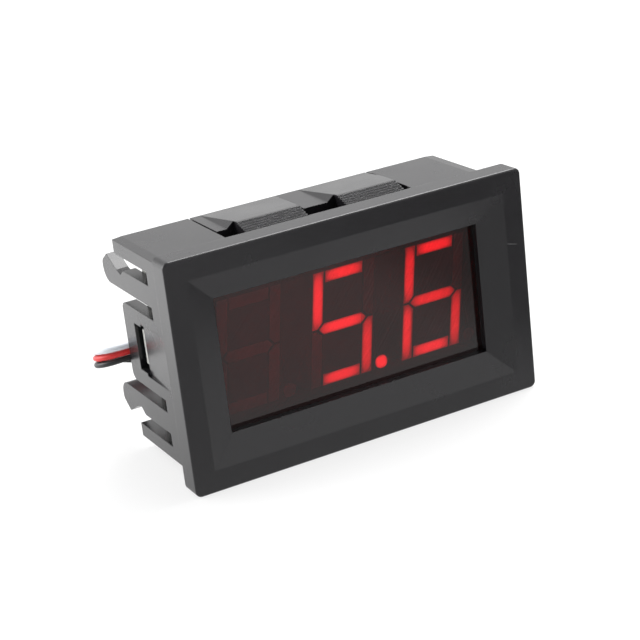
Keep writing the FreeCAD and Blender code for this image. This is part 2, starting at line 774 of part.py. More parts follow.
# Middle lead's route behind the solder joint, as (x, depth behind the bezel's front, height over
# the surface, share of the pads' spread: 1 at the pads, 0 where the leads lie side by side).
# It passes the latch block, doubles back and comes down behind the housing. The spread grows a
# little on the steep stretch, where leads that are stacked upright would otherwise meet.
LEAD_ROUTE = [
    (-14.5, 16.8, 12.57, 1.0),
    (-14.95, 17.9, 12.57, 0.8),
    (-15.8, 18.75, 12.57, 0.55),
    (-16.9, 19.2, 12.57, 0.3),
    (-19.3, 19.15, 12.57, 0.05),
    (-22.3, 19.25, 12.57, 0.0),
    (-25.25, 20.3, 12.45, 0.0),
    (-25.9, 23.25, 11.6, 0.0),
    (-23.55, 25.1, 10.65, 0.0),
    (-20.5, 24.05, 10.3, 0.0),
    (-17.2, 22.9, 9.2, 0.14),
    (-14.0, 21.8, 6.8, 0.26),
    (-10.8, 20.8, 4.2, 0.26),
    (-7.6, 20.1, 2.2, 0.12),
    (-4.4, 19.7, 1.35, 0.0),
    (-1.8, 19.6, 1.2, 0.0),
]


def coil_outer_radius():
    """Radius of the outermost turn's centre line, from the length that is put away."""
    return SIZES["coil_mid_radius"] + coil_turns() * SIZES["coil_step"] / 2


def coil_turns():
    """Number of turns that take up the rest of the lead."""
    mean_turn = 2 * math.pi * SIZES["coil_mid_radius"]
    end_bend = SIZES["tip_bend"] * math.radians(SIZES["tip_turn"])
    put_away = SIZES["wire_length"] - route_length() - end_bend - SIZES["tip_length"]
    return put_away / mean_turn


def route_length():
    """Length of the middle lead's loose stretch."""
    spots = [FreeCAD.Vector(*spot[:3]) for spot in LEAD_ROUTE]
    return sum((after - before).Length for before, after in zip(spots, spots[1:]))


def coil_centre():
    """Middle of the coil, which lies just behind the housing."""
    depth = LEAD_ROUTE[-1][1] + coil_outer_radius()
    return FreeCAD.Vector(SIZES["coil_x"], depth - SIZES["overall_depth"] / 2, 0)


def lead_points(level):
    """Route of one lead in the part's own frame, from its solder joint to the coil."""
    board_rear = value(BOARD_REAR)
    pad_level = SIZES["pad_z"] + level * SIZES["pad_pitch"] + SIZES["bezel_height"] / 2
    to_middle = SIZES["overall_depth"] / 2
    start = FreeCAD.Vector(SIZES["pad_x"], board_rear + SIZES["pad_height"] - to_middle, pad_level)
    fan = SIZES["pad_pitch"] - SIZES["wire_pitch"]
    points = [start]
    for x, depth, height, share in LEAD_ROUTE:
        lift = level * (SIZES["wire_pitch"] + share * fan)
        points.append(FreeCAD.Vector(x, depth - to_middle, height + lift))
    centre = coil_centre()
    points.append(FreeCAD.Vector(centre.x, points[-1].y, points[-1].z))
    return points


def rounded_path(points, name):
    """Straight runs joined by tangent arcs, each as large as its two runs allow."""
    edges = []
    radii = []
    start = points[0]
    for before, corner, after in zip(points, points[1:], points[2:]):
        toward = (corner - before).normalize()
        away = (after - corner).normalize()
        turn = toward.getAngle(away)
        reach = 0.45 * min((corner - before).Length, (after - corner).Length)
        radius = reach / math.tan(turn / 2)
        radii.append(round(radius, 2))
        arc_start = corner - toward * reach
        arc_end = corner + away * reach
        inward = (away - toward).normalize()
        middle = corner + inward * (radius / math.cos(turn / 2) - radius)
        edges.append(Part.LineSegment(start, arc_start).toShape())
        edges.append(Part.Arc(arc_start, middle, arc_end).toShape())
        start = arc_end
    edges.append(Part.LineSegment(start, points[-1]).toShape())
    print(name, "arc radii", radii)
    return Part.Wire(edges)


def make_leads():
    """Solder joint, loose stretch, put-away coil and tinned end of each lead."""
    for colour, level in LEADS.items():
        joint = new_body(f"{colour}_solder_joint")
        mound(joint, "pad_x", f"pad_z + {level} * pad_pitch", "pad_height", "pad_radius",
              "wire_diameter / 2", "0", "mound")
        add_lead_tube(colour, level)
        add_coil(colour, level)
        add_tip(colour, level)


def add_lead_tube(colour, level):
    """Loose stretch of one lead."""
    radius = SIZES["wire_diameter"] / 2
    points = lead_points(level)
    path = rounded_path(points, colour)
    direction = points[1] - points[0]
    section = Part.Wire([Part.makeCircle(radius, points[0], direction)])
    tube = path.makePipeShell([section], True, False)
    expected = math.pi * radius ** 2 * path.Length
    print(colour, "tube volume over section times length", round(tube.Volume / expected, 4),
          "length", round(path.Length, 2))
    feature = doc.addObject("Part::Feature", f"{colour}_lead")
    feature.Label = f"{colour}_lead"
    feature.Shape = tube
    nodes.append(feature)


def add_coil(colour, level):
    """Closed outer form of one lead's flat coil, which lies on the coil below it."""
    centre = coil_centre()
    half_span = coil_turns() * SIZES["coil_step"] / 2 + SIZES["wire_diameter"] / 2
    outer = doc.addObject("Part::Cylinder", f"{colour}_coil_outer")
    inner = doc.addObject("Part::Cylinder", f"{colour}_coil_inner")
    outer.Radius = SIZES["coil_mid_radius"] + half_span
    inner.Radius = SIZES["coil_mid_radius"] - half_span
    for disc in (outer, inner):
        bind(disc, "Height", "wire_pitch")
        disc.Placement.Base = FreeCAD.Vector(centre.x, centre.y, 0)
        bind(disc, "Placement.Base.z", f"({level} + 1) * wire_pitch")
    coil = doc.addObject("Part::Cut", f"{colour}_coil")
    coil.Label = f"{colour}_coil"
    coil.Base = outer
    coil.Tool = inner
    nodes.append(coil)


def add_tip(colour, level):
    """Stripped and tinned end of one lead, inside its coil."""
    inner_radius = SIZES["coil_mid_radius"] - coil_turns() * SIZES["coil_step"] / 2
    bend = SIZES["tip_bend"]
    end_angle = -math.pi / 2 + 2 * math.pi * coil_turns()
    outward = FreeCAD.Vector(math.cos(end_angle), math.sin(end_angle), 0)
    turned_to = end_angle + math.radians(SIZES["tip_turn"])
    bend_centre = coil_centre() + outward * (inner_radius - bend)
    start = bend_centre + FreeCAD.Vector(math.cos(turned_to), math.sin(turned_to), 0) * bend
    heading = FreeCAD.Vector(-math.sin(turned_to), math.cos(turned_to), 0)
    start.z = (level + 1.5) * SIZES["wire_pitch"]
    tip = doc.addObject("Part::Cylinder", f"{colour}_tip")
    tip.Label = f"{colour}_tip"
    bind(tip, "Radius", "tip_diameter / 2")
    bind(tip, "Height", "tip_length")
    tip.Placement = FreeCAD.Placement(start, FreeCAD.Rotation(FreeCAD.Vector(0, 0, 1), heading))
    nodes.append(tip)


make_housing()
make_window()
make_display()
make_dice()
make_board()
make_controller()
make_small_parts()
make_trimmer()
make_leads()
doc.recompute()

for thing in doc.Objects:
    if "Invalid" in thing.State or "Error" in thing.State:
        raise RuntimeError(f"{thing.Name} failed: {thing.State}")
os.makedirs("parts", exist_ok=True)
for node in nodes:
    shape = node.Shape
    if shape.isNull() or not shape.isValid():
        raise RuntimeError(f"{node.Label} has no valid shape")
    shape.exportStep(f"parts/{node.Label}.step")
print(len(nodes), "nodes written")
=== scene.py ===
"""Digital panel meter: finishes of its parts, lit digits, leads, studio and camera."""
import math

import bpy
from bpy.props import FloatProperty, FloatVectorProperty, IntProperty, PointerProperty
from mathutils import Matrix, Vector


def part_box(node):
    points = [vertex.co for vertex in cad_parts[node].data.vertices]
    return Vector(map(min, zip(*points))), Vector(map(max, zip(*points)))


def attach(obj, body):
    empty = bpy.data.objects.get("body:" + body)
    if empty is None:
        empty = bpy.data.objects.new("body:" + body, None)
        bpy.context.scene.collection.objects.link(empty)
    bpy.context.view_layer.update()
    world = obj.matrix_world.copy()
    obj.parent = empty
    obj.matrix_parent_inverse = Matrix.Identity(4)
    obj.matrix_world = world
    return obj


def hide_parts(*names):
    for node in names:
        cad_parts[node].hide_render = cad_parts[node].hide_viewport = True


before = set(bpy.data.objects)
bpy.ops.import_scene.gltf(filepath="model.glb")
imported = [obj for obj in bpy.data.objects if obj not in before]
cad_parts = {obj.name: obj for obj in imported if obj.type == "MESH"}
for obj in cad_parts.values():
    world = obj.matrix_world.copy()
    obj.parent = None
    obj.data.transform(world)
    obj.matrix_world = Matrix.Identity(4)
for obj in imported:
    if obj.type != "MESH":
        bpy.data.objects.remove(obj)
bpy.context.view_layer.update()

bl_info = {
    "name": "Digital Panel Meter",
    "version": (1, 0, 0),
    "blender": (4, 5, 0),
    "location": "View3D > Sidebar > Panel Meter",
    "description": "Finishes, leads and studio of a snap-in digital panel meter",
    "category": "Object",
}

MM = 0.001

# Segments of the reading on show: the left digit is dark
LIT_SEGMENTS = {
    "centre": ("top", "upper_left", "middle", "lower_right", "bottom", "point"),
    "right": ("top", "upper_left", "middle", "lower_left", "lower_right", "bottom"),
}
SEGMENT_PLACES = (
    "top", "upper_right", "lower_right", "bottom", "lower_left", "upper_left", "middle", "point",
)
DIGITS = ("left", "centre", "right")
DIGIT_SLANT = math.radians(8.5)

# Share of the full glow that each segment's die gives
GLOW_SHARES = {
    "top": 1.0, "upper_left": 0.76, "middle": 0.86, "lower_left": 0.76, "lower_right": 0.68,
    "bottom": 0.76, "point": 0.93,
}

# Leads, from the top of the flat run to the bottom
LEAD_LEVELS = {"white": 1, "red": 0, "black": -1}

# Middle lead's route behind its solder joint, in millimetres: x, depth behind the bezel's
# front, height over the table, share of the spread that the pads give the three leads
LEAD_ROUTE = (
    (-14.5, 16.8, 12.57, 1.0),
    (-14.95, 17.9, 12.57, 0.8),
    (-15.8, 18.75, 12.57, 0.55),
    (-16.9, 19.2, 12.57, 0.3),
    (-19.3, 19.15, 12.57, 0.05),
    (-22.3, 19.25, 12.57, 0.0),
    (-25.25, 20.3, 12.1, 0.06),
    (-25.9, 23.25, 11.3, 0.1),
    (-23.55, 25.1, 10.65, 0.0),
    (-20.5, 24.05, 10.3, 0.0),
    (-17.2, 22.9, 9.2, 0.14),
    (-14.0, 21.8, 6.8, 0.26),
    (-10.8, 20.8, 4.2, 0.26),
    (-7.6, 20.1, 2.2, 0.12),
    (-4.4, 19.7, 1.35, 0.0),
    (-1.8, 19.6, 1.2, 0.0),
)

LEAD_COLOURS = {
    # The white lead's insulation is white; its darker grey-blue here is painted shade along it
    "white": (0.62, 0.645, 0.69),
    "red": (0.58, 0.012, 0.012),
    "black": (0.01, 0.01, 0.011),
}

# Leads' solder pads and coil, in millimetres
PAD_X = -14.5
PAD_Z = 12.57
PAD_PITCH = 2.0
PAD_DEPTH = 15.6
OVERALL_DEPTH = 22.8
COIL_STEP = 0.85
TIP_LENGTH = 3.0
TIP_BEND = 1.8
TIP_TURN = math.radians(120)

# Copper tracks under the mask on the back of the board: x and height of their corners, in
# millimetres
TRACKS = (
    ((-14.5, 14.57), (-14.5, 16.4), (-16.9, 18.8), (-16.9, 20.2)),
    ((-14.5, 12.57), (-12.3, 12.57), (-11.5, 11.77), (-11.5, 8.2), (-12.4, 7.3), (-12.4, 6.2)),
    ((-14.5, 10.57), (-17.6, 7.47), (-17.6, 6.2)),
    ((-15.2, 20.1), (-15.2, 19.0)),
    ((-13.7, 20.1), (-12.9, 19.3), (-12.1, 19.3), (-11.3, 18.7)),
    ((-8.1, 18.7), (-6.2, 18.7), (-4.4, 16.9), (-4.4, 13.4), (-3.2, 12.2)),
    ((-9.0, 11.3), (-9.0, 12.4)),
    ((-6.4, 11.3), (-6.4, 14.2), (-7.1, 14.9)),
    ((-3.8, 11.3), (-2.95, 12.1)),
    ((-1.2, 11.3), (-1.68, 11.8)),
    ((-9.0, 9.1), (-9.0, 7.9), (-6.35, 6.88)),
    ((-6.4, 9.1), (-5.4, 8.1), (-3.81, 6.88)),
    ((-3.8, 9.1), (-2.7, 8.0), (-1.27, 6.88)),
    ((-1.2, 9.1), (-0.1, 8.0), (1.27, 6.88)),
    ((-0.4, 11.5), (-0.4, 10.4), (3.1, 6.9), (3.81, 6.88)),
    ((0.87, 11.5), (0.87, 10.6), (4.6, 6.88), (6.35, 6.88)),
    ((2.14, 11.5), (2.14, 10.7), (4.1, 8.74), (8.6, 8.74), (9.4, 9.54), (9.4, 20.5), (7.8, 22.1),
     (6.35, 22.12)),
    ((3.41, 11.5), (3.41, 10.8), (4.6, 9.61), (8.1, 9.61), (8.6, 10.11), (8.6, 18.0)),
    ((4.68, 11.5), (4.68, 10.6), (7.6, 10.6), (7.8, 10.8), (7.8, 17.0)),
    ((5.95, 11.5), (6.9, 12.45), (6.9, 18.2), (5.95, 17.5)),
    ((-2.95, 17.5), (-2.95, 18.9), (-6.35, 22.12)),
    ((-1.68, 17.5), (-1.68, 19.2), (-3.81, 21.33), (-3.81, 22.12)),
    ((-0.4, 17.5), (-0.4, 20.4), (-1.27, 21.27), (-1.27, 22.12)),
    ((0.87, 17.5), (0.87, 21.7), (1.27, 22.12)),
    ((2.14, 17.5), (2.14, 20.2), (3.81, 21.87)),
    ((3.41, 17.5), (3.41, 18.9), (5.2, 20.7)),
    ((4.68, 17.5), (4.68, 18.4), (6.0, 19.7)),
    ((13.0, 6.0), (13.0, 17.0), (16.5, 20.5), (16.5, 23.0), (11.0, 23.0)),
    ((14.2, 6.0), (14.2, 16.5), (17.7, 20.0), (17.7, 24.2), (9.9, 24.2), (7.0, 24.2)),
    ((11.8, 5.0), (11.8, 17.6), (14.6, 20.4), (14.6, 21.8), (11.0, 21.8)),
    ((-18.6, 5.0), (-18.6, 17.6), (-17.8, 18.4)),
    ((-10.9, 4.6), (11.8, 4.6)),
)
# Plated holes of the board that join its two sides
VIAS = (
    (-7.1, 14.9), (6.0, 19.7), (11.0, 23.0), (11.0, 21.8), (13.0, 6.0), (14.2, 6.0), (7.0, 24.2),
    (-18.6, 5.0), (-17.8, 18.4), (-10.9, 4.6), (11.8, 4.6), (-15.2, 18.95), (8.6, 18.0),
    (7.8, 17.0), (5.2, 20.7),
)

# Parts with two soldered ends
CAPACITORS = ("upper_capacitor", "outer_capacitor")
RESISTORS = tuple(f"resistor_{number}" for number in range(1, 5))

# How far the pads run past the ends of their parts, in millimetres
PAD_MARGINS = {
    "regulator_leads": 0.22, **dict.fromkeys(CAPACITORS, 0.3), "diode": 0.45,
    **dict.fromkeys(RESISTORS, 0.26),
}
# Printed outlines: the parts in each, and its distance from them in millimetres
OUTLINES = (
    (("controller_body",), 0.0), (("regulator_body",), 0.25), (("diode",), 0.6),
    (("trimmer_base",), 0.5), (("upper_capacitor",), 0.45), (("outer_capacitor",), 0.45),
    (("resistor_1", "resistor_4"), 0.4), (("black_solder_joint", "white_solder_joint"), 0.3),
)

# Copper and ink on the board, in millimetres
SUNK = 0.01
LEVEL_STEP = 0.004
PAD_UNDER = 0.55
PAD_INSET = 0.04
PAD_HEIGHT = 0.03
VIA_RADIUS = 0.24
VIA_RIM = 0.08
OUTLINE_WIDTH = 0.13
OUTLINE_HEIGHT = 0.02

# Leads of the controller chip on each side, and their pads, in millimetres
LEAD_COUNT = 8
LEAD_PITCH = 1.27
LEAD_WIDTH = 0.42
LEAD_PAD_HALF = 0.29
LEAD_PAD_ENDS = (0.25, 0.8)

# Index dimple of the controller chip, and band of the diode, in millimetres
DIMPLE_RADIUS = 0.45
DIMPLE_DEPTH = 0.15
DIMPLE_X = 1.0
DIMPLE_Z = 0.9
BAND_START = 0.55
BAND_END = 1.15
BAND_INSET = 0.16
BAND_DEPTH = 0.3
BAND_PROUD = 0.015

# Metal ends and solder of the small parts, in millimetres. The diode's ends are a foot and a
# riser: how far each stands out, and its height
CAP_STEP = 0.06
FILLET_INSET = 0.08
DIODE_ENDS = ((0.28, 0.14), (0.14, 1.15))
END_INSET = 0.55
END_UNDER = 0.1
FOOT_OUT = 0.35
FOOT_UNDER = 0.08
FOOT_INSET = 0.8
FOOT_HEIGHT = 0.3
TAB_INSET = 1.4
TAB_OUT = 0.5
TAB_HEIGHT = 0.4

# Light scratch on the bezel's right rim: place, turn in the front's plane and size
SCRATCH_PLACE = (22.02, -11.4, 19.6)
SCRATCH_TURN = math.radians(-14.6)
SCRATCH_LENGTH = 1.6
SCRATCH_WIDTH = 0.09

# Lamps: place and size in metres, power in watts
LAMPS = {
    "overhead": ((0.19, 0.08, 0.41), 0.3, 2.6),
    "side": ((-0.4, 0.3, 0.2), 0.4, 2.0),
    "front": ((0.24, -0.47, 0.2), 0.4, 0.4),
}
LAMP_AIM = (0, 0, 0.015)
SENSOR_WIDTH = 36.0

# Table, and the stretch to its right over which glossy surfaces see it darken
TABLE_SIZE = 4.0
TABLE_DROP = 0.02 * MM
SHADE_FROM = 24 * MM
SHADE_TO = 44 * MM
SHADE_LEVEL = 0.5


def a_colour(name, description, default):
    """Setting that holds a colour."""
    return FloatVectorProperty(name=name, description=description, subtype="COLOR", size=3,
                               min=0, max=1, default=default)


def a_share(name, description, default):
    """Setting that holds a share of one."""
    return FloatProperty(name=name, description=description, subtype="FACTOR", min=0, max=1,
                         default=default)


def a_level(name, description, default, most=4):
    """Setting that holds a brightness."""
    return FloatProperty(name=name, description=description, min=0, max=most, default=default)


def a_length(name, description, millimetres, **limits):
    """Setting that holds a length."""
    return FloatProperty(name=name, description=description, subtype="DISTANCE", unit="LENGTH",
                         default=millimetres * MM, **limits)


class MeterFinish(bpy.types.PropertyGroup):
    """Colours and surface of the moulded and printed parts."""

    case_colour: a_colour(
        "Case colour", "Black of the moulded housing", (0.0105, 0.0098, 0.0115))
    case_roughness: a_share("Case roughness", "How matt the moulded housing is", 0.25)
    window_colour: a_colour(
        "Window tint", "Colour that the window lets through", (0.42, 0.07, 0.07))
    face_colour: a_colour(
        "Display face", "Grey of the display behind the window", (0.17, 0.15, 0.16))
    unlit_colour: a_colour("Unlit segment", "Milky resin of the segments", (0.34, 0.24, 0.22))
    glow_colour: a_colour("Glow", "Colour of a lit segment over its die", (1.0, 0.03, 0.05))
    glow_rim: a_colour(
        "Glow, edge", "The same at the segment's ends and edges", (0.2, 0.008, 0.012))
    glow_strength: a_level("Glow strength", "Brightness of a lit segment", 1.9, most=20)


class MeterBoard(bpy.types.PropertyGroup):
    """Circuit board and its copper."""

    mask_colour: a_colour("Solder mask", "Colour of the board's two faces", (0.005, 0.03, 0.014))
    track_colour: a_colour(
        "Tracks", "Colour of the mask where copper lies under it", (0.014, 0.08, 0.035))
    track_width: a_length("Track width", "Width of a copper track", 0.32)
    track_height: a_length("Track height", "How far a track stands out of the board", 0.025)


class MeterLeads(bpy.types.PropertyGroup):
    """Sizes of the three leads."""

    diameter: a_length("Diameter", "Thickness over the insulation", 0.75, min=0.4 * MM)
    pitch: a_length("Pitch", "Spacing of the leads where they lie side by side", 0.8)
    length: a_length("Length", "Length of each lead with its tinned end", 150)
    coil_radius: a_length(
        "Coil radius", "Radius of the put-away coil at the middle of its turns", 4.6)
    coil_points: IntProperty(
        name="Points per turn", description="Control points in each turn of the coil",
        min=12, default=16)


class MeterStudio(bpy.types.PropertyGroup):
    """Camera, table and background."""

    camera_place: FloatVectorProperty(
        name="Camera", description="Where the camera stands",
        subtype="XYZ", unit="LENGTH", size=3, precision=5,
        default=(-92.666 * MM, -186.989 * MM, 89.814 * MM))
    camera_turn: FloatVectorProperty(
        name="Camera angles", description="How the camera is turned",
        subtype="EULER", unit="ROTATION", size=3,
        default=tuple(math.radians(a) for a in (69.54647, 6.38696, -28.79488)))
    focal_length: FloatProperty(
        name="Focal length", description="Focal length on a 36 mm sensor, in millimetres",
        min=20, max=300, default=100.368)
    rear_level: a_level("Rear light", "Brightness of the room behind the meter", 1.1)
    front_level: a_level("Front light", "Brightness of the room on the camera's side", 0.35)
    table_level: a_level(
        "Table, near", "Brightness of the table that glossy surfaces mirror", 1.8)
    dim_level: a_level(
        "Table, front", "The same where the table runs on towards the camera", 0.62)
    shadow_lift: a_share(
        "Shadow lift", "How much the background's white fills the shadow", 0.72)
    dim_from: a_length("Dim end", "Where the table is at its dimmest, along the depth", -42)
    dim_to: a_length("Bright end", "Where the table is at its brightest, along the depth", 76)


class PanelMeterSettings(bpy.types.PropertyGroup):
    """All the settings of the meter."""

    finish: PointerProperty(type=MeterFinish)
    board: PointerProperty(type=MeterBoard)
    leads: PointerProperty(type=MeterLeads)
    studio: PointerProperty(type=MeterStudio)


def settings():
    """The scene's own settings."""
    return bpy.context.scene.panel_meter


def middle_of(low, high):
    """Middle of a box, from its two corners."""
    return [(a + b) / 2 for a, b in zip(low, high)]


def dress(node, material):
    """Give a frame node its finish."""
    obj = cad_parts[node]
    for place in obj.material_slots:
        place.material = material


def feed(tree, socket, value):
    """Link a socket to another node's output, or set it to a plain value."""
    if isinstance(value, bpy.types.NodeSocket):
        tree.links.new(value, socket)
    else:
        socket.default_value = value


def feed_all(tree, node, **sockets):
    """Feed a node's inputs by name, with underscores for blanks."""
    for key, value in sockets.items():
        feed(tree, node.inputs[key.replace("_", " ")], value)


def add(tree, kind, inputs=None, **properties):
    """Add a node, set its properties, and feed its inputs by name or number."""
    node = tree.nodes.new(f"ShaderNode{kind}")
    for key, value in properties.items():
        setattr(node, key, value)
    for key, value in (inputs or {}).items():
        feed(tree, node.inputs[key], value)
    return node


def calc(tree, operation, *values, clamp=False):
    """Math on numbers or outputs."""
    inputs = dict(enumerate(values))
    return add(tree, "Math", inputs, operation=operation, use_clamp=clamp).outputs[0]


def fade(tree, value, low, high, start, end, kind="LINEAR"):
    """Map a range of a value onto another range."""
    inputs = {"Value": value, "From Min": low, "From Max": high, "To Min": start, "To Max": end}
    return add(tree, "MapRange", inputs, interpolation_type=kind).outputs["Result"]


def mixed(tree, share, first, second, data_type="RGBA", blend_type="MIX"):
    """Mix two colours or two numbers."""
    node = add(tree, "Mix", data_type=data_type, blend_type=blend_type)
    feed_all(tree, node, Factor=share, A=first, B=second)
    return node.outputs["Result"]


def on_part(tree, output="Object"):
    """Place, or normal, of a surface in the meter's own frame."""
    return add(tree, "TexCoord").outputs[output]


def axes(tree, vector):
    """The three axes of a vector."""
    return add(tree, "SeparateXYZ", {0: vector}).outputs


def offset_from(tree, vector, centre):
    """The three axes of a vector measured from a centre."""
    return axes(tree, add(tree, "VectorMath", {0: vector, 1: centre},
                          operation="SUBTRACT").outputs[0])


def noise(tree, scale, detail, roughness=0.5):
    """Noise over the part, at a scale per metre."""
    inputs = {"Vector": on_part(tree), "Scale": scale, "Detail": detail, "Roughness": roughness}
    return add(tree, "TexNoise", inputs, noise_dimensions="3D").outputs["Fac"]


def bumped(tree, height, strength, distance, normal=None):
    """Normal bent by a height."""
    node = add(tree, "Bump", {"Height": height, "Strength": strength, "Distance": distance})
    if normal is not None:
        feed(tree, node.inputs["Normal"], normal)
    return node.outputs["Normal"]


def new_group(name, inputs, outputs):
    """Start a shader node group. Returns its tree, what comes in and what goes out."""
    tree = bpy.data.node_groups.new(name, "ShaderNodeTree")
    for label, kind, default in inputs:
        socket = tree.interface.new_socket(
            label, in_out="INPUT", socket_type=f"NodeSocket{kind}")
        socket.default_value = default
    for label, kind in outputs:
        tree.interface.new_socket(label, in_out="OUTPUT", socket_type=f"NodeSocket{kind}")
    given = tree.nodes.new("NodeGroupInput").outputs
    return tree, given, tree.nodes.new("NodeGroupOutput").inputs


def use_group(tree, build, **sockets):
    """Place a shared group, which is built at its first use and named after its function."""
    name = build.__name__.replace("_", " ")
    if name not in bpy.data.node_groups:
        build(name)
    node = add(tree, "Group", node_tree=bpy.data.node_groups[name])
    feed_all(tree, node, **sockets)
    return node.outputs


def new_material(name):
    """Start a material. Returns it with its node tree and its Principled shader."""
    material = bpy.data.materials.new(name)
    material.use_nodes = True
    return material, material.node_tree, material.node_tree.nodes["Principled BSDF"]


def fed_by(shader, name):
    """The output that feeds one of a shader's sockets."""
    return shader.inputs[name].links[0].from_socket


def roughened(material, height, strength, distance):
    """Bend a material's normal by one more height."""
    tree = material.node_tree
    surface = tree.nodes["Principled BSDF"]
    normal = bumped(tree, height, strength, distance, fed_by(surface, "Normal"))
    feed(tree, surface.inputs["Normal"], normal)
    return material


def moulded_surface(name):
    """Fine grain, faint flow marks and softened edges of a moulded plastic part."""
    tree, given, result = new_group(
        name,
        (("Colour", "Color", (0.02, 0.02, 0.02, 1)), ("Roughness", "Float", 0.4),
         ("Grain size", "Float", 0.1), ("Grain height", "Float", 0.2),
         ("Edge radius", "Float", 0.1 * MM)),
        (("Colour", "Color"), ("Roughness", "Float"), ("Normal", "Vector")))
    grain = noise(tree, calc(tree, "DIVIDE", 1 / MM, given["Grain size"]), 3.0, 0.6)
    flow = fade(tree, noise(tree, 140.0, 4.0, 0.55), 0.3, 0.7, 0.86, 1.16)
    edge = add(tree, "Bevel", {"Radius": given["Edge radius"]}, samples=4).outputs["Normal"]
    tinted = mixed(tree, 1.0, given["Colour"], flow, blend_type="MULTIPLY")
    feed(tree, result["Colour"], tinted)
    feed(tree, result["Roughness"], calc(tree, "MULTIPLY", given["Roughness"], flow))
    feed(tree, result["Normal"], bumped(tree, grain, given["Grain height"], 0.02 * MM, edge))


def moulded(name, colour, roughness, grain_size=0.12, grain_height=0.2, edge=0.12, **shader):
    """Material on the moulded surface group, made once for each name. Sizes in millimetres."""
    name = f"{name}_finish"
    if name in bpy.data.materials:
        return bpy.data.materials[name]
    material, tree, surface = new_material(name)
    skin = use_group(tree, moulded_surface, Colour=(*colour, 1), Roughness=roughness,
                     Grain_size=grain_size, Grain_height=grain_height, Edge_radius=edge * MM)
    feed_all(tree, surface, Base_Color=skin["Colour"], Roughness=skin["Roughness"],
             Normal=skin["Normal"], **shader)
    return material


def hair_scratch(name):
    """White along one hair-thin scratch that lies in the plane of the bezel's front."""
    tree, given, result = new_group(
        name,
        (("Middle", "Vector", (0, 0, 0)), ("Turn", "Float", 0.0),
         ("Length", "Float", 1 * MM), ("Width", "Float", 0.05 * MM)),
        (("Mask", "Float"),))
    turned = add(tree, "VectorRotate",
                 {"Vector": on_part(tree), "Center": given["Middle"], "Angle": given["Turn"]},
                 rotation_type="Y_AXIS")
    away = offset_from(tree, turned.outputs[0], given["Middle"])
    mask = 1.0
    for axis, size, whole, gone in (("X", "Length", 0.3, 0.5), ("Y", "Width", 3.0, 4.0),
                                    ("Z", "Width", 0.3, 0.5)):
        share = calc(tree, "DIVIDE", calc(tree, "ABSOLUTE", away[axis]), given[size])
        edge = fade(tree, share, whole, gone, 1.0, 0.0, "SMOOTHSTEP")
        mask = calc(tree, "MULTIPLY", mask, edge)
    feed(tree, result["Mask"], mask)


def serration_highlight(name):
    """Painted highlight: white, with sparkling noise, on the forward-facing slopes of the wedges,
    where their fine ridges catch the light.
    """
    tree, given, result = new_group(
        name,
        (("Lowest", "Float", 27.2 * MM), ("Front", "Float", -3.9 * MM),
         ("Rear", "Float", -1.3 * MM)),
        (("Mask", "Float"),))
    place = axes(tree, on_part(tree))
    facing = axes(tree, on_part(tree, "Normal"))["Y"]
    mask = fade(tree, noise(tree, 5500.0, 2.0, 0.6), 0.35, 0.65, 0.62, 1.0)
    for source, test, limit in ((place["Z"], "GREATER_THAN", given["Lowest"]),
                                (place["Y"], "GREATER_THAN", given["Front"]),
                                (place["Y"], "LESS_THAN", given["Rear"]),
                                (facing, "LESS_THAN", -0.1)):
        mask = calc(tree, "MULTIPLY", mask, calc(tree, test, source, limit))
    feed(tree, result["Mask"], mask)


class METER_OT_housing(bpy.types.Operator):
    """Give the housing its satin black finish, with the light scratch on its rim"""

    bl_idname = "meter.housing"
    bl_label = "Housing"

    def execute(self, context):
        finish = settings().finish
        material = moulded("case_plastic", finish.case_colour, finish.case_roughness,
                           grain_size=0.16, grain_height=0.3, edge=0.14)
        tree = material.node_tree
        surface = tree.nodes["Principled BSDF"]
        scratch = use_group(
            tree, hair_scratch, Middle=[v * MM for v in SCRATCH_PLACE], Turn=SCRATCH_TURN,
            Length=SCRATCH_LENGTH * MM, Width=SCRATCH_WIDTH * MM)
        painted_highlight = use_group(tree, serration_highlight)
        colour = mixed(tree, scratch["Mask"], fed_by(surface, "Base Color"),
                       (0.11, 0.11, 0.11, 1))
        # Painted highlight on the wedges' forward slopes, mixed into the base colour
        colour = mixed(tree, painted_highlight["Mask"], colour, (0.235, 0.235, 0.24, 1))
        feed(tree, surface.inputs["Base Color"], colour)
        dress("housing", material)
        return {"FINISHED"}


class METER_OT_window(bpy.types.Operator):
    """Give the window its dark red tint"""

    bl_idname = "meter.window"
    bl_label = "Window"

    def execute(self, context):
        material, tree, surface = new_material("window_tint")
        tint = (*settings().finish.window_colour, 1)
        feed_all(tree, surface, Base_Color=tint, Roughness=0.02, IOR=1.58,
                 Transmission_Weight=1.0)
        path = add(tree, "LightPath").outputs
        soft = calc(tree, "MAXIMUM", path["Is Shadow Ray"], path["Is Diffuse Ray"])
        through = add(tree, "BsdfTransparent", {"Color": tint})
        mix = add(tree, "MixShader", {"Fac": soft, 1: surface.outputs[0], 2: through.outputs[0]})
        feed(tree, tree.nodes["Material Output"].inputs["Surface"], mix.outputs[0])
        dress("window_filter", material)
        return {"FINISHED"}


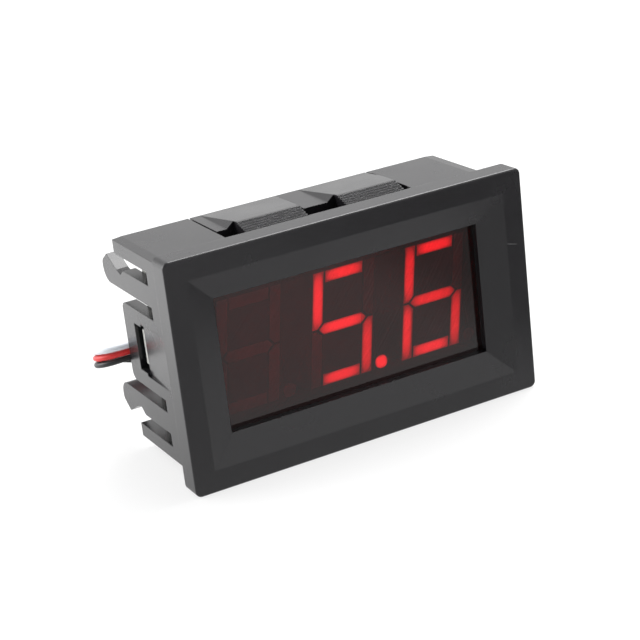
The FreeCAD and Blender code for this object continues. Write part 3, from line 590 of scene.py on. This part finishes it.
def die_glow(name):
    """Light of one die spread over its slanted segment: bright over the die, dim at the ends."""
    tree, given, result = new_group(
        name,
        (("Die", "Vector", (0, 0, 0)), ("Half width", "Float", 3 * MM),
         ("Half height", "Float", 0.7 * MM), ("Slant", "Float", 0.15),
         ("Core", "Color", (1, 0.05, 0.06, 1)), ("Rim", "Color", (0.4, 0.01, 0.01, 1))),
        (("Colour", "Color"),))
    away = offset_from(tree, on_part(tree), given["Die"])
    lean = calc(tree, "MULTIPLY", away["Z"], given["Slant"])
    losses = []
    for distance, size in ((calc(tree, "SUBTRACT", away["X"], lean), "Half width"),
                           (away["Z"], "Half height")):
        share = calc(tree, "ABSOLUTE", calc(tree, "DIVIDE", distance, given[size]))
        losses.append(calc(tree, "POWER", share, 3.5))
    streaks = fade(tree, noise(tree, 900.0, 2.0), 0.3, 0.7, -0.05, 0.09)
    share = calc(tree, "ADD", calc(tree, "ADD", *losses, clamp=True), streaks, clamp=True)
    feed(tree, result["Colour"], mixed(tree, share, given["Core"], given["Rim"]))


def lit_segment(node):
    """Glowing resin over the die of one segment."""
    finish = settings().finish
    low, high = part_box(node)
    place = node.split("_", 1)[1]
    slant = 0.0 if place == "point" else math.tan(DIGIT_SLANT)
    height = high[2] - low[2]
    material = moulded(f"{node}_glow", (0.3, 0.04, 0.04), 0.5, grain_height=0.05, edge=0.02)
    tree = material.node_tree
    glow = use_group(
        tree, die_glow, Die=middle_of(low, high), Half_height=height / 2,
        Half_width=(high[0] - low[0] - slant * height) / 2, Slant=slant,
        Core=(*finish.glow_colour, 1), Rim=(*finish.glow_rim, 1))
    feed_all(tree, tree.nodes["Principled BSDF"], Emission_Color=glow["Colour"],
             Emission_Strength=finish.glow_strength * GLOW_SHARES[place])
    return material


class METER_OT_display(bpy.types.Operator):
    """Finish the display: grey face, unlit segments and the lit reading"""

    bl_idname = "meter.display"
    bl_label = "Display"

    def execute(self, context):
        finish = settings().finish
        dress("display_case", moulded("reflector_plastic", finish.face_colour, 0.6, edge=0.02))
        unlit = moulded("segment_resin", finish.unlit_colour, 0.5, grain_height=0.05, edge=0.02)
        for digit in DIGITS:
            for place in SEGMENT_PLACES:
                node = f"{digit}_{place}"
                dress(node, lit_segment(node) if place in LIT_SEGMENTS.get(digit, ()) else unlit)
        dress("display_substrate", laminate("substrate_laminate", (0.03, 0.03, 0.032)))
        dress("led_dice", moulded("die", (0.35, 0.34, 0.33), 0.35, grain_size=0.05))
        return {"FINISHED"}


def laminate_layers(name):
    """Glass-fibre board: solder mask on its two faces, rough grey cut edges and hole walls."""
    tree, given, result = new_group(
        name,
        (("Mask", "Color", (0.01, 0.05, 0.02, 1)), ("Cut", "Color", (0.45, 0.45, 0.42, 1))),
        (("Colour", "Color"), ("Roughness", "Float"), ("Height", "Float")))
    facing = calc(tree, "ABSOLUTE", axes(tree, on_part(tree, "Normal"))["Y"])
    face = calc(tree, "GREATER_THAN", facing, 0.7)
    weave = 1.0
    for direction in ("X", "Z"):
        threads = add(tree, "TexWave", {"Vector": on_part(tree), "Scale": 560.0,
                                        "Distortion": 0.6, "Detail": 1.0},
                      bands_direction=direction).outputs["Fac"]
        weave = calc(tree, "MULTIPLY", weave, threads)
    weave = fade(tree, weave, 0.0, 1.0, 0.86, 1.12)
    fibres = noise(tree, 2600.0, 4.0, 0.7)
    ragged = fade(tree, fibres, 0.3, 0.7, 0.6, 1.25)
    masked = mixed(tree, 1.0, given["Mask"], weave, blend_type="MULTIPLY")
    cut = mixed(tree, 1.0, given["Cut"], ragged, blend_type="MULTIPLY")
    feed(tree, result["Colour"], mixed(tree, face, cut, masked))
    feed(tree, result["Roughness"], fade(tree, face, 0.0, 1.0, 0.8, 0.28))
    feed(tree, result["Height"], mixed(tree, face, fibres, weave, data_type="FLOAT"))


def laminate(name, mask_colour, cut_colour=(0.42, 0.42, 0.4)):
    """Material of a printed board with a solder mask of a given colour."""
    material, tree, surface = new_material(name)
    layers = use_group(tree, laminate_layers, Mask=(*mask_colour, 1), Cut=(*cut_colour, 1))
    feed_all(tree, surface, Base_Color=layers["Colour"], Roughness=layers["Roughness"],
             Normal=bumped(tree, layers["Height"], 0.35, 0.02 * MM))
    return material


def choose(*pieces):
    """Select these pieces alone and make the first one active."""
    bpy.ops.object.select_all(action="DESELECT")
    for piece in pieces:
        piece.select_set(True)
    bpy.context.view_layer.objects.active = pieces[0]


def start_block(name, low, high, turn=0.0):
    """Add a block between two corners, turned about its middle in the board's plane."""
    bpy.ops.object.select_all(action="DESELECT")
    bpy.ops.mesh.primitive_cube_add(
        size=1, location=middle_of(low, high), scale=[b - a for a, b in zip(low, high)],
        rotation=(0, turn, 0))
    block = bpy.context.active_object
    block.name = block.data.name = name
    bpy.ops.object.transform_apply(location=True, rotation=True, scale=True)
    return block


def pick_faces(piece, wanted):
    """Go to edit mode with only the faces selected whose middle and normal are wanted."""
    bpy.ops.object.mode_set(mode="EDIT")
    bpy.ops.mesh.select_mode(type="FACE")
    bpy.ops.mesh.select_all(action="DESELECT")
    bpy.ops.object.mode_set(mode="OBJECT")
    for face in piece.data.polygons:
        face.select = wanted(face.center, face.normal)
    bpy.ops.object.mode_set(mode="EDIT")


def cut_across(piece, place, direction):
    """Cut the whole mesh by a plane and keep both sides."""
    bpy.ops.object.mode_set(mode="EDIT")
    bpy.ops.mesh.select_all(action="SELECT")
    bpy.ops.mesh.bisect(plane_co=place, plane_no=direction)
    bpy.ops.object.mode_set(mode="OBJECT")


def soften_edges(piece, width, segments=2):
    """Round the sharp edges of a piece, in millimetres, and shade it smooth between them."""
    bpy.ops.object.mode_set(mode="OBJECT")
    bevel = piece.modifiers.new("rounded", "BEVEL")
    bevel.width = width * MM
    bevel.segments = segments
    bevel.limit_method = "ANGLE"
    bevel.angle_limit = math.radians(25)
    bpy.ops.object.modifier_apply(modifier=bevel.name)
    bpy.ops.object.shade_smooth_by_angle(angle=math.radians(35))


def finish_slot(piece, material, wanted=None):
    """Give a piece a material, or only those of its faces that are wanted."""
    piece.data.materials.append(material)
    if wanted is None:
        return
    pick_faces(piece, wanted)
    piece.active_material_index = len(piece.data.materials) - 1
    bpy.ops.object.material_slot_assign()
    bpy.ops.object.mode_set(mode="OBJECT")


def fit_piece(piece, slot, *nodes):
    """Fix a finished piece to the meter, in place of the nodes it stands for."""
    bpy.ops.object.mode_set(mode="OBJECT")
    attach(piece, "meter")
    if nodes:
        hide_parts(*nodes)


def joined(name, blocks):
    """Join blocks into one piece."""
    choose(*blocks)
    bpy.ops.object.join()
    piece = bpy.context.active_object
    piece.name = piece.data.name = name
    return piece


def board_rear():
    """Depth of the board's rear face in the frame."""
    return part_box("circuit_board")[1][1]


def long_axis(low, high):
    """Number of the longer of a box's two axes in the board's plane."""
    return 0 if high[0] - low[0] > high[2] - low[2] else 2


def span(edge, side, outward, inward):
    """Lower and upper end of a stretch across an edge, whose two parts are in millimetres."""
    return sorted((edge + side * outward * MM, edge - side * inward * MM))


def on_board(name, across, up, height, sunk=0.0):
    """Block on the back of the board. Its ends across and up are in metres."""
    rear = board_rear()
    return start_block(name, (across[0], rear - sunk * MM, up[0]),
                       (across[1], rear + height * MM, up[1]))


def strip(start, end, width, height, overlap):
    """Flat strip on the back of the board between two corners."""
    rear = board_rear()
    run = math.dist(start, end) + width * overlap
    across = ((start[0] + end[0]) / 2, (start[1] + end[1]) / 2)
    turn = -math.atan2(end[1] - start[1], end[0] - start[0])
    low = (across[0] - run / 2, rear - SUNK * MM, across[1] - width / 2)
    high = (across[0] + run / 2, rear + height, across[1] + width / 2)
    return start_block("strip", low, high, turn)


def strips(corners, width, height, levels, overlap=0.5):
    """Strips from corner to corner. Neighbours differ a hair in height, so that none coincide."""
    return [strip(start, end, width, height + number % levels * LEVEL_STEP * MM, overlap)
            for number, (start, end) in enumerate(zip(corners, corners[1:]))]


def lay_tracks():
    """Copper tracks under the solder mask."""
    board = settings().board
    runs = []
    for route in TRACKS:
        corners = [(x * MM, z * MM) for x, z in route]
        runs += strips(corners, board.track_width, board.track_height, 3)
    tracks = joined("board_tracks", runs)
    finish_slot(tracks, moulded("masked_copper", board.track_colour, 0.25, grain_size=0.3,
                                grain_height=0.1, edge=0.02))
    fit_piece(tracks, "laminate")


def lay_pads():
    """Plated holes, and the pads under the ends of the parts."""
    pads = []
    for x, z in VIAS:
        bpy.ops.object.select_all(action="DESELECT")
        bpy.ops.mesh.primitive_torus_add(
            location=(x * MM, board_rear(), z * MM), rotation=(math.pi / 2, 0, 0),
            major_radius=VIA_RADIUS * MM, minor_radius=VIA_RIM * MM, major_segments=20,
            minor_segments=8)
        bpy.ops.object.transform_apply(location=True, rotation=True, scale=True)
        bpy.ops.object.shade_smooth()
        pads.append(bpy.context.active_object)
    for node, margin in PAD_MARGINS.items():
        low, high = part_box(node)
        along = long_axis(low, high)
        ends = {2 - along: (low[2 - along] + PAD_INSET * MM, high[2 - along] - PAD_INSET * MM)}
        for side, edge in ((-1, low[along]), (1, high[along])):
            ends[along] = span(edge, side, margin, PAD_UNDER)
            pads.append(on_board("pad", ends[0], ends[2], PAD_HEIGHT, SUNK))
    low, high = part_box("controller_leads")
    for number in range(LEAD_COUNT):
        x = low[0] + (LEAD_WIDTH / 2 + number * LEAD_PITCH) * MM
        for side, foot in ((-1, low[2]), (1, high[2])):
            pads.append(on_board("pad", span(x, 1, LEAD_PAD_HALF, LEAD_PAD_HALF),
                                 span(foot, side, *LEAD_PAD_ENDS), PAD_HEIGHT, SUNK))
    plating = joined("board_pads", pads)
    finish_slot(plating, tinned())
    fit_piece(plating, "tinned")


def print_outlines():
    """Plain printed outlines round the parts."""
    lines = []
    for nodes, margin in OUTLINES:
        boxes = [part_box(node) for node in nodes]
        left, lower = (min(low[axis] for low, high in boxes) - margin * MM for axis in (0, 2))
        right, upper = (max(high[axis] for low, high in boxes) + margin * MM for axis in (0, 2))
        ring = ((left, lower), (right, lower), (right, upper), (left, upper), (left, lower))
        lines += strips(ring, OUTLINE_WIDTH * MM, OUTLINE_HEIGHT * MM, 2, overlap=1.0)
    outlines = joined("board_outlines", lines)
    finish_slot(outlines, moulded("marking_ink", (0.7, 0.7, 0.68), 0.6, grain_size=0.08,
                                  grain_height=0.3, edge=0.01))
    fit_piece(outlines, "laminate")


class METER_OT_tracks(bpy.types.Operator):
    """Lay the tracks, pads, plated holes and printed outlines on the back of the board"""

    bl_idname = "meter.tracks"
    bl_label = "Tracks and pads"

    def execute(self, context):
        dress("circuit_board", laminate("board_laminate", settings().board.mask_colour))
        lay_tracks()
        lay_pads()
        print_outlines()
        return {"FINISHED"}


def tinned():
    """Bright tin plating."""
    return moulded("tinned_metal", (0.62, 0.62, 0.6), 0.32, grain_size=0.2, grain_height=0.4,
                   edge=0.03, Metallic=1.0)


def solder():
    """Shiny soldered metal with a slightly frosted skin."""
    return moulded("solder", (0.66, 0.66, 0.66), 0.22, grain_size=0.25, grain_height=0.6,
                   edge=0.05, Metallic=1.0)


def chip_body(node, draft=0.93, dimple=False):
    """Moulded body of a chip: sides that slope from a parting line, and an index dimple."""
    low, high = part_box(node)
    chip = start_block(f"{node}_shell", low, high)
    middle = middle_of(low, high)
    cut_across(chip, middle, (0, 1, 0))
    for side in (-1, 1):
        pick_faces(chip, lambda place, normal: normal.y * side > 0.9)
        bpy.ops.transform.resize(value=(draft, 1, draft), center_override=middle)
    if dimple:
        bpy.ops.object.mode_set(mode="OBJECT")
        bpy.ops.object.select_all(action="DESELECT")
        bpy.ops.mesh.primitive_cylinder_add(
            vertices=28, radius=DIMPLE_RADIUS * MM, depth=2 * DIMPLE_DEPTH * MM,
            location=(low[0] + DIMPLE_X * MM, high[1], low[2] + DIMPLE_Z * MM),
            rotation=(math.pi / 2, 0, 0))
        cutter = bpy.context.active_object
        bpy.ops.object.transform_apply(location=True, rotation=True, scale=True)
        choose(chip)
        hollow = chip.modifiers.new("dimple", "BOOLEAN")
        hollow.operation = "DIFFERENCE"
        hollow.solver = "EXACT"
        hollow.object = cutter
        bpy.ops.object.modifier_apply(modifier=hollow.name)
        bpy.data.objects.remove(cutter)
    soften_edges(chip, 0.05)
    return chip


def capped_block(node, slot, cap, waist, *coats):
    """Ceramic block whose metal end caps stand a little proud of its coated body."""
    low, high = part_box(node)
    along = long_axis(low, high)
    middle = middle_of(low, high)
    direction = [float(axis == along) for axis in range(3)]
    block = start_block(f"{node}_capped", low, high)
    for inner in (0.0, CAP_STEP * MM):
        for side, edge in ((-1, low[along]), (1, high[along])):
            place = list(middle)
            place[along] = edge - side * (cap * MM + inner)
            cut_across(block, place, direction)
    half = (high[along] - low[along]) / 2 - (cap + CAP_STEP + 0.01) * MM
    shrink = [waist] * 3
    shrink[along] = 1.0
    pick_faces(block, lambda place, normal: abs(place[along] - middle[along]) < half * 0.9)
    bpy.ops.transform.resize(value=shrink, center_override=middle)
    soften_edges(block, 0.04)
    finish_slot(block, coats[0])
    for coat in coats[1:]:
        finish_slot(block, coat, lambda place, normal: normal.y > 0.8 and
                    abs(place[along] - middle[along]) < half)
    finish_slot(block, tinned(), lambda place, normal: abs(place[along] - middle[along]) > half)
    fit_piece(block, slot, node)


def solder_fillets(name, nodes, reach, climb):
    """Small sloped solder joints at both ends of each part. Reach in millimetres."""
    rear = board_rear()
    wedges = []
    for node in nodes:
        low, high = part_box(node)
        along = long_axis(low, high)
        for side, edge in ((-1, low[along]), (1, high[along])):
            start, end = list(low), list(high)
            start[1], end[1] = rear, rear + climb * (high[1] - rear)
            start[along], end[along] = span(edge, side, reach, FILLET_INSET)
            start[2 - along] += FILLET_INSET * MM
            end[2 - along] -= FILLET_INSET * MM
            wedge = start_block("fillet", start, end)
            pick_faces(wedge, lambda place, normal: normal[along] * side > 0.9)
            toe = middle_of(start, end)
            toe[along] = edge + side * reach * MM
            toe[1] = rear
            bpy.ops.transform.resize(value=(0.75, 0.12, 0.75), center_override=toe)
            soften_edges(wedge, 0.07, 3)
            wedges.append(wedge)
    piece = joined(name, wedges)
    finish_slot(piece, solder())
    fit_piece(piece, "solder")


def make_chips(epoxy):
    """Bodies of the controller, the regulator and the diode, with the diode's band."""
    for node in ("controller_body", "regulator_body"):
        shell = chip_body(node, dimple=node == "controller_body")
        finish_slot(shell, epoxy)
        fit_piece(shell, "chip_black", node)
    diode = chip_body("diode", draft=0.9)
    finish_slot(diode, epoxy)
    fit_piece(diode, "chip_black", "diode")
    low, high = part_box("diode")
    band = start_block(
        "diode_band",
        (low[0] + BAND_START * MM, high[1] - BAND_DEPTH * MM, low[2] + BAND_INSET * MM),
        (low[0] + BAND_END * MM, high[1] + BAND_PROUD * MM, high[2] - BAND_INSET * MM))
    finish_slot(band, moulded("band_ink", (0.55, 0.55, 0.53), 0.6, grain_size=0.08, edge=0.01))
    soften_edges(band, 0.02)
    fit_piece(band, "capacitor_tan")


def make_terminals():
    """Metal ends of the diode, feet of the trimmer and tab of the regulator."""
    ends = []
    low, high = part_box("diode")
    inner = (low[2] + END_INSET * MM, high[2] - END_INSET * MM)
    for side, edge in ((-1, low[0]), (1, high[0])):
        for outward, up in DIODE_ENDS:
            ends.append(on_board("end", span(edge, side, outward, END_UNDER), inner, up))
    low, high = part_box("trimmer_base")
    for side, edge, height in ((-1, low[0], (low[2] + high[2]) / 2),
                               (1, high[0], low[2] + FOOT_INSET * MM),
                               (1, high[0], high[2] - FOOT_INSET * MM)):
        ends.append(on_board("foot", span(edge, side, FOOT_OUT, FOOT_UNDER),
                             span(height, 1, FOOT_OUT, FOOT_OUT), FOOT_HEIGHT))
    low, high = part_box("regulator_body")
    ends.append(on_board("tab", (low[0] + TAB_INSET * MM, high[0] - TAB_INSET * MM),
                         span(high[2], 1, TAB_OUT, END_UNDER), TAB_HEIGHT))
    terminals = joined("part_terminals", ends)
    finish_slot(terminals, tinned())
    soften_edges(terminals, 0.04)
    fit_piece(terminals, "tinned")


class METER_OT_board(bpy.types.Operator):
    """Make the parts that are soldered to the back of the board"""

    bl_idname = "meter.board"
    bl_label = "Parts on the board"

    def execute(self, context):
        make_chips(moulded("epoxy", (0.018, 0.018, 0.02), 0.5, grain_size=0.07,
                           grain_height=0.6, edge=0.03))
        make_terminals()
        ceramic = moulded("capacitor_ceramic", (0.36, 0.25, 0.14), 0.4, grain_size=0.08, edge=0.03)
        glaze = moulded("resistor_glaze", (0.016, 0.016, 0.018), 0.22, grain_size=0.3,
                        grain_height=0.1, edge=0.03)
        alumina = moulded("alumina", (0.72, 0.71, 0.68), 0.6, grain_size=0.06, edge=0.03)
        for node in CAPACITORS:
            capped_block(node, "capacitor_tan", 0.5, 0.95, ceramic)
        for node in RESISTORS:
            capped_block(node, "resistor_black", 0.38, 0.93, alumina, glaze)
        solder_fillets("chip_part_joints", CAPACITORS, 0.3, 0.6)
        solder_fillets("resistor_joints", RESISTORS, 0.2, 0.8)
        for node in ("display_pins", "controller_leads", "regulator_leads"):
            dress(node, tinned())
        for node in ("pin_joints", *(f"{c}_solder_joint" for c in LEAD_LEVELS)):
            dress(node, solder())
        dress("trimmer_base", moulded("trimmer_ceramic", (0.66, 0.65, 0.6), 0.5, grain_size=0.08))
        dress("trimmer_rotor", brushed_brass())
        for colour in LEAD_LEVELS:
            dress(f"{colour}_tip", twisted_strands(colour))
        return {"FINISHED"}


def brushed_brass():
    """Turned brass of the trimmer's screw, with fine rings round its axis."""
    material = moulded("rotor_brass", (0.7, 0.53, 0.25), 0.28, grain_size=0.2, edge=0.04,
                       Metallic=1.0)
    tree = material.node_tree
    centre = [-v for v in middle_of(*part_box("trimmer_rotor"))]
    place = add(tree, "Mapping", {"Vector": on_part(tree), "Location": centre})
    rings = add(tree, "TexWave",
                {"Vector": place.outputs[0], "Scale": 3200.0, "Distortion": 0.4, "Detail": 2.0},
                wave_type="RINGS", rings_direction="Y")
    return roughened(material, rings.outputs["Fac"], 0.3, 0.01 * MM)


def twisted_strands(colour):
    """Tinned copper strands at the stripped end of a lead, twisted together."""
    material = moulded(f"{colour}_strands", (0.64, 0.62, 0.58), 0.3, grain_size=0.1,
                       grain_height=0.6, edge=0.02, Metallic=1.0)
    tree = material.node_tree
    turn = [math.radians(angle) for angle in (40, 35, 25)]
    place = add(tree, "Mapping", {"Vector": on_part(tree), "Rotation": turn})
    lay = add(tree, "TexWave", {"Vector": place.outputs[0], "Scale": 1500.0, "Distortion": 0.3})
    return roughened(material, lay.outputs["Fac"], 0.8, 0.06 * MM)


def coil_points(put_away, front, height):
    """Control points of a flat coil from its front inwards, with the bend of its bare end."""
    leads = settings().leads
    mid_radius = leads.coil_radius / MM
    turns = put_away / (2 * math.pi * mid_radius)
    outer = mid_radius + turns * COIL_STEP / 2
    centre_y = front + outer
    points = [(0.0, front, height)]
    # The smooth line runs inside its control points, so these stand out by a little
    out = 1 / math.cos(math.pi / leads.coil_points) ** 2
    for number in range(1, int(turns * leads.coil_points) + 1):
        radius = (outer - COIL_STEP * number / leads.coil_points) * out
        angle = 2 * math.pi * number / leads.coil_points - math.pi / 2
        points.append((radius * math.cos(angle), centre_y + radius * math.sin(angle), height))
    end_angle = 2 * math.pi * turns - math.pi / 2
    bend_radius = mid_radius - turns * COIL_STEP / 2 - TIP_BEND
    bend_x = bend_radius * math.cos(end_angle)
    bend_y = centre_y + bend_radius * math.sin(end_angle)
    for share in (0.25, 0.5, 0.75, 1.0):
        angle = end_angle + TIP_TURN * share
        points.append((bend_x + TIP_BEND * math.cos(angle), bend_y + TIP_BEND * math.sin(angle),
                       height))
    return points


def lead_control_points(level):
    """Control points of one lead, in millimetres in the frame's own axes."""
    leads = settings().leads
    pitch = leads.pitch / MM
    middle = OVERALL_DEPTH / 2
    points = [(PAD_X, PAD_DEPTH - middle, PAD_Z + level * PAD_PITCH)]
    for x, depth, height, share in LEAD_ROUTE:
        lift = level * (pitch + share * (PAD_PITCH - pitch))
        points.append((x, depth - middle, height + lift))
    route = sum(math.dist(a[:3], b[:3]) for a, b in zip(LEAD_ROUTE, LEAD_ROUTE[1:]))
    put_away = leads.length / MM - route - TIP_BEND * TIP_TURN - TIP_LENGTH
    return points + coil_points(put_away, *points[-1][1:])


class METER_OT_leads(bpy.types.Operator):
    """Lay the three leads from the board to their put-away coil"""

    bl_idname = "meter.leads"
    bl_label = "Leads"

    def execute(self, context):
        leads = settings().leads
        for colour, level in LEAD_LEVELS.items():
            points = [tuple(v * MM for v in point) for point in lead_control_points(level)]
            curve = bpy.data.curves.new(f"{colour}_lead_run", "CURVE")
            curve.dimensions = "3D"
            spline = curve.splines.new("NURBS")
            spline.points.add(len(points) - 1)
            for place, point in zip(spline.points, points):
                place.co = (*point, 1)
            spline.order_u = 3
            spline.use_endpoint_u = True
            spline.resolution_u = 8
            curve.bevel_depth = leads.diameter / 2
            curve.bevel_resolution = 4
            curve.use_fill_caps = True
            lead = bpy.data.objects.new(f"{colour}_lead_run", curve)
            context.scene.collection.objects.link(lead)
            curve.materials.append(moulded(f"{colour}_insulation", LEAD_COLOURS[colour], 0.38,
                                           grain_size=0.3, grain_height=0.1, edge=0.02))
            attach(lead, "meter")
            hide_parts(f"{colour}_lead", f"{colour}_coil")
        return {"FINISHED"}


def table_material():
    """Matt white table. Glossy surfaces see it bright near the meter and dim towards the front."""
    studio = settings().studio
    material, tree, surface = new_material("table")
    tree.nodes.remove(surface)
    path = add(tree, "LightPath").outputs
    matt = add(tree, "BsdfDiffuse", {"Color": (0.9, 0.9, 0.9, 1)})
    white = add(tree, "Emission")
    lift = calc(tree, "MULTIPLY", path["Is Camera Ray"], studio.shadow_lift)
    pale = add(tree, "MixShader", {"Fac": lift, 1: matt.outputs[0], 2: white.outputs[0]})
    place = axes(tree, on_part(tree))
    depth = fade(tree, place["Y"], studio.dim_from, studio.dim_to, studio.dim_level,
                 studio.table_level, "SMOOTHSTEP")
    shade = fade(tree, place["X"], SHADE_FROM, SHADE_TO, 1.0, SHADE_LEVEL, "SMOOTHSTEP")
    mirrored = add(tree, "Emission", {"Strength": calc(tree, "MULTIPLY", depth, shade)})
    mix = add(tree, "MixShader",
              {"Fac": path["Is Glossy Ray"], 1: pale.outputs[0], 2: mirrored.outputs[0]})
    feed(tree, tree.nodes["Material Output"].inputs["Surface"], mix.outputs[0])
    return material


def studio_world():
    """White room to the camera, and a soft light that is weaker on the camera's side."""
    studio = settings().studio
    world = bpy.data.worlds.new("studio")
    world.use_nodes = True
    tree = world.node_tree
    side = fade(tree, axes(tree, on_part(tree, "Generated"))["Y"], -0.6, 0.15,
                studio.front_level, studio.rear_level, "SMOOTHSTEP")
    to_camera = add(tree, "LightPath").outputs["Is Camera Ray"]
    level = mixed(tree, to_camera, side, 1.0, data_type="FLOAT")
    feed_all(tree, tree.nodes["Background"], Color=(1, 1, 1, 1), Strength=level)
    return world


def place_lamp(name, place, size, power):
    """Square area lamp that points at the meter."""
    light = bpy.data.lights.new(name, "AREA")
    light.size = size
    light.energy = power
    lamp = bpy.data.objects.new(name, light)
    bpy.context.scene.collection.objects.link(lamp)
    lamp.location = place
    lamp.rotation_euler = (Vector(LAMP_AIM) - Vector(place)).to_track_quat("-Z", "Y").to_euler()


def place_camera():
    """Camera at the photographer's place."""
    studio = settings().studio
    lens = bpy.data.cameras.new("photo_view")
    lens.sensor_width = SENSOR_WIDTH
    lens.lens = studio.focal_length
    lens.clip_start = 1 * MM
    camera = bpy.data.objects.new("photo_view", lens)
    bpy.context.scene.collection.objects.link(camera)
    camera.location = studio.camera_place
    camera.rotation_euler = studio.camera_turn
    bpy.context.scene.camera = camera


class METER_OT_stage(bpy.types.Operator):
    """Set up the table, the lamps and the camera"""

    bl_idname = "meter.stage"
    bl_label = "Stage"

    def execute(self, context):
        context.scene.view_settings.view_transform = "Standard"
        bpy.ops.object.select_all(action="DESELECT")
        bpy.ops.mesh.primitive_plane_add(size=TABLE_SIZE, location=(0, 0, -TABLE_DROP))
        floor = context.active_object
        floor.name = "table"
        bpy.ops.object.transform_apply(location=True, rotation=False, scale=False)
        floor.data.materials.append(table_material())
        context.scene.world = studio_world()
        for name, (place, size, power) in LAMPS.items():
            place_lamp(name, place, size, power)
        place_camera()
        return {"FINISHED"}


class METER_PT_panel(bpy.types.Panel):
    """Shows the meter's settings and operator buttons in the sidebar"""

    bl_idname = "METER_PT_panel"
    bl_label = "Panel Meter"
    bl_space_type = "VIEW_3D"
    bl_region_type = "UI"
    bl_category = "Panel Meter"

    def draw(self, context):
        for group in (settings().finish, settings().board, settings().leads,
                      settings().studio):
            box = self.layout.box()
            for name in group.__annotations__:
                box.prop(group, name)
        for operator in OPERATORS:
            self.layout.operator(operator.bl_idname)


OPERATORS = (
    METER_OT_stage, METER_OT_leads, METER_OT_housing, METER_OT_window, METER_OT_display,
    METER_OT_tracks, METER_OT_board,
)
CLASSES = (
    MeterFinish, MeterBoard, MeterLeads, MeterStudio, PanelMeterSettings, *OPERATORS,
    METER_PT_panel,
)


def register():
    """Register the classes and the settings."""
    for item in CLASSES:
        bpy.utils.register_class(item)
    bpy.types.Scene.panel_meter = PointerProperty(type=PanelMeterSettings)


def unregister():
    """Take the settings and the classes away again."""
    del bpy.types.Scene.panel_meter
    for item in reversed(CLASSES):
        bpy.utils.unregister_class(item)


def main():
    """Make the whole scene."""
    register()
    for operator in OPERATORS:
        group, name = operator.bl_idname.split(".")
        getattr(getattr(bpy.ops, group), name)()


if __name__ == "__main__":
    main()
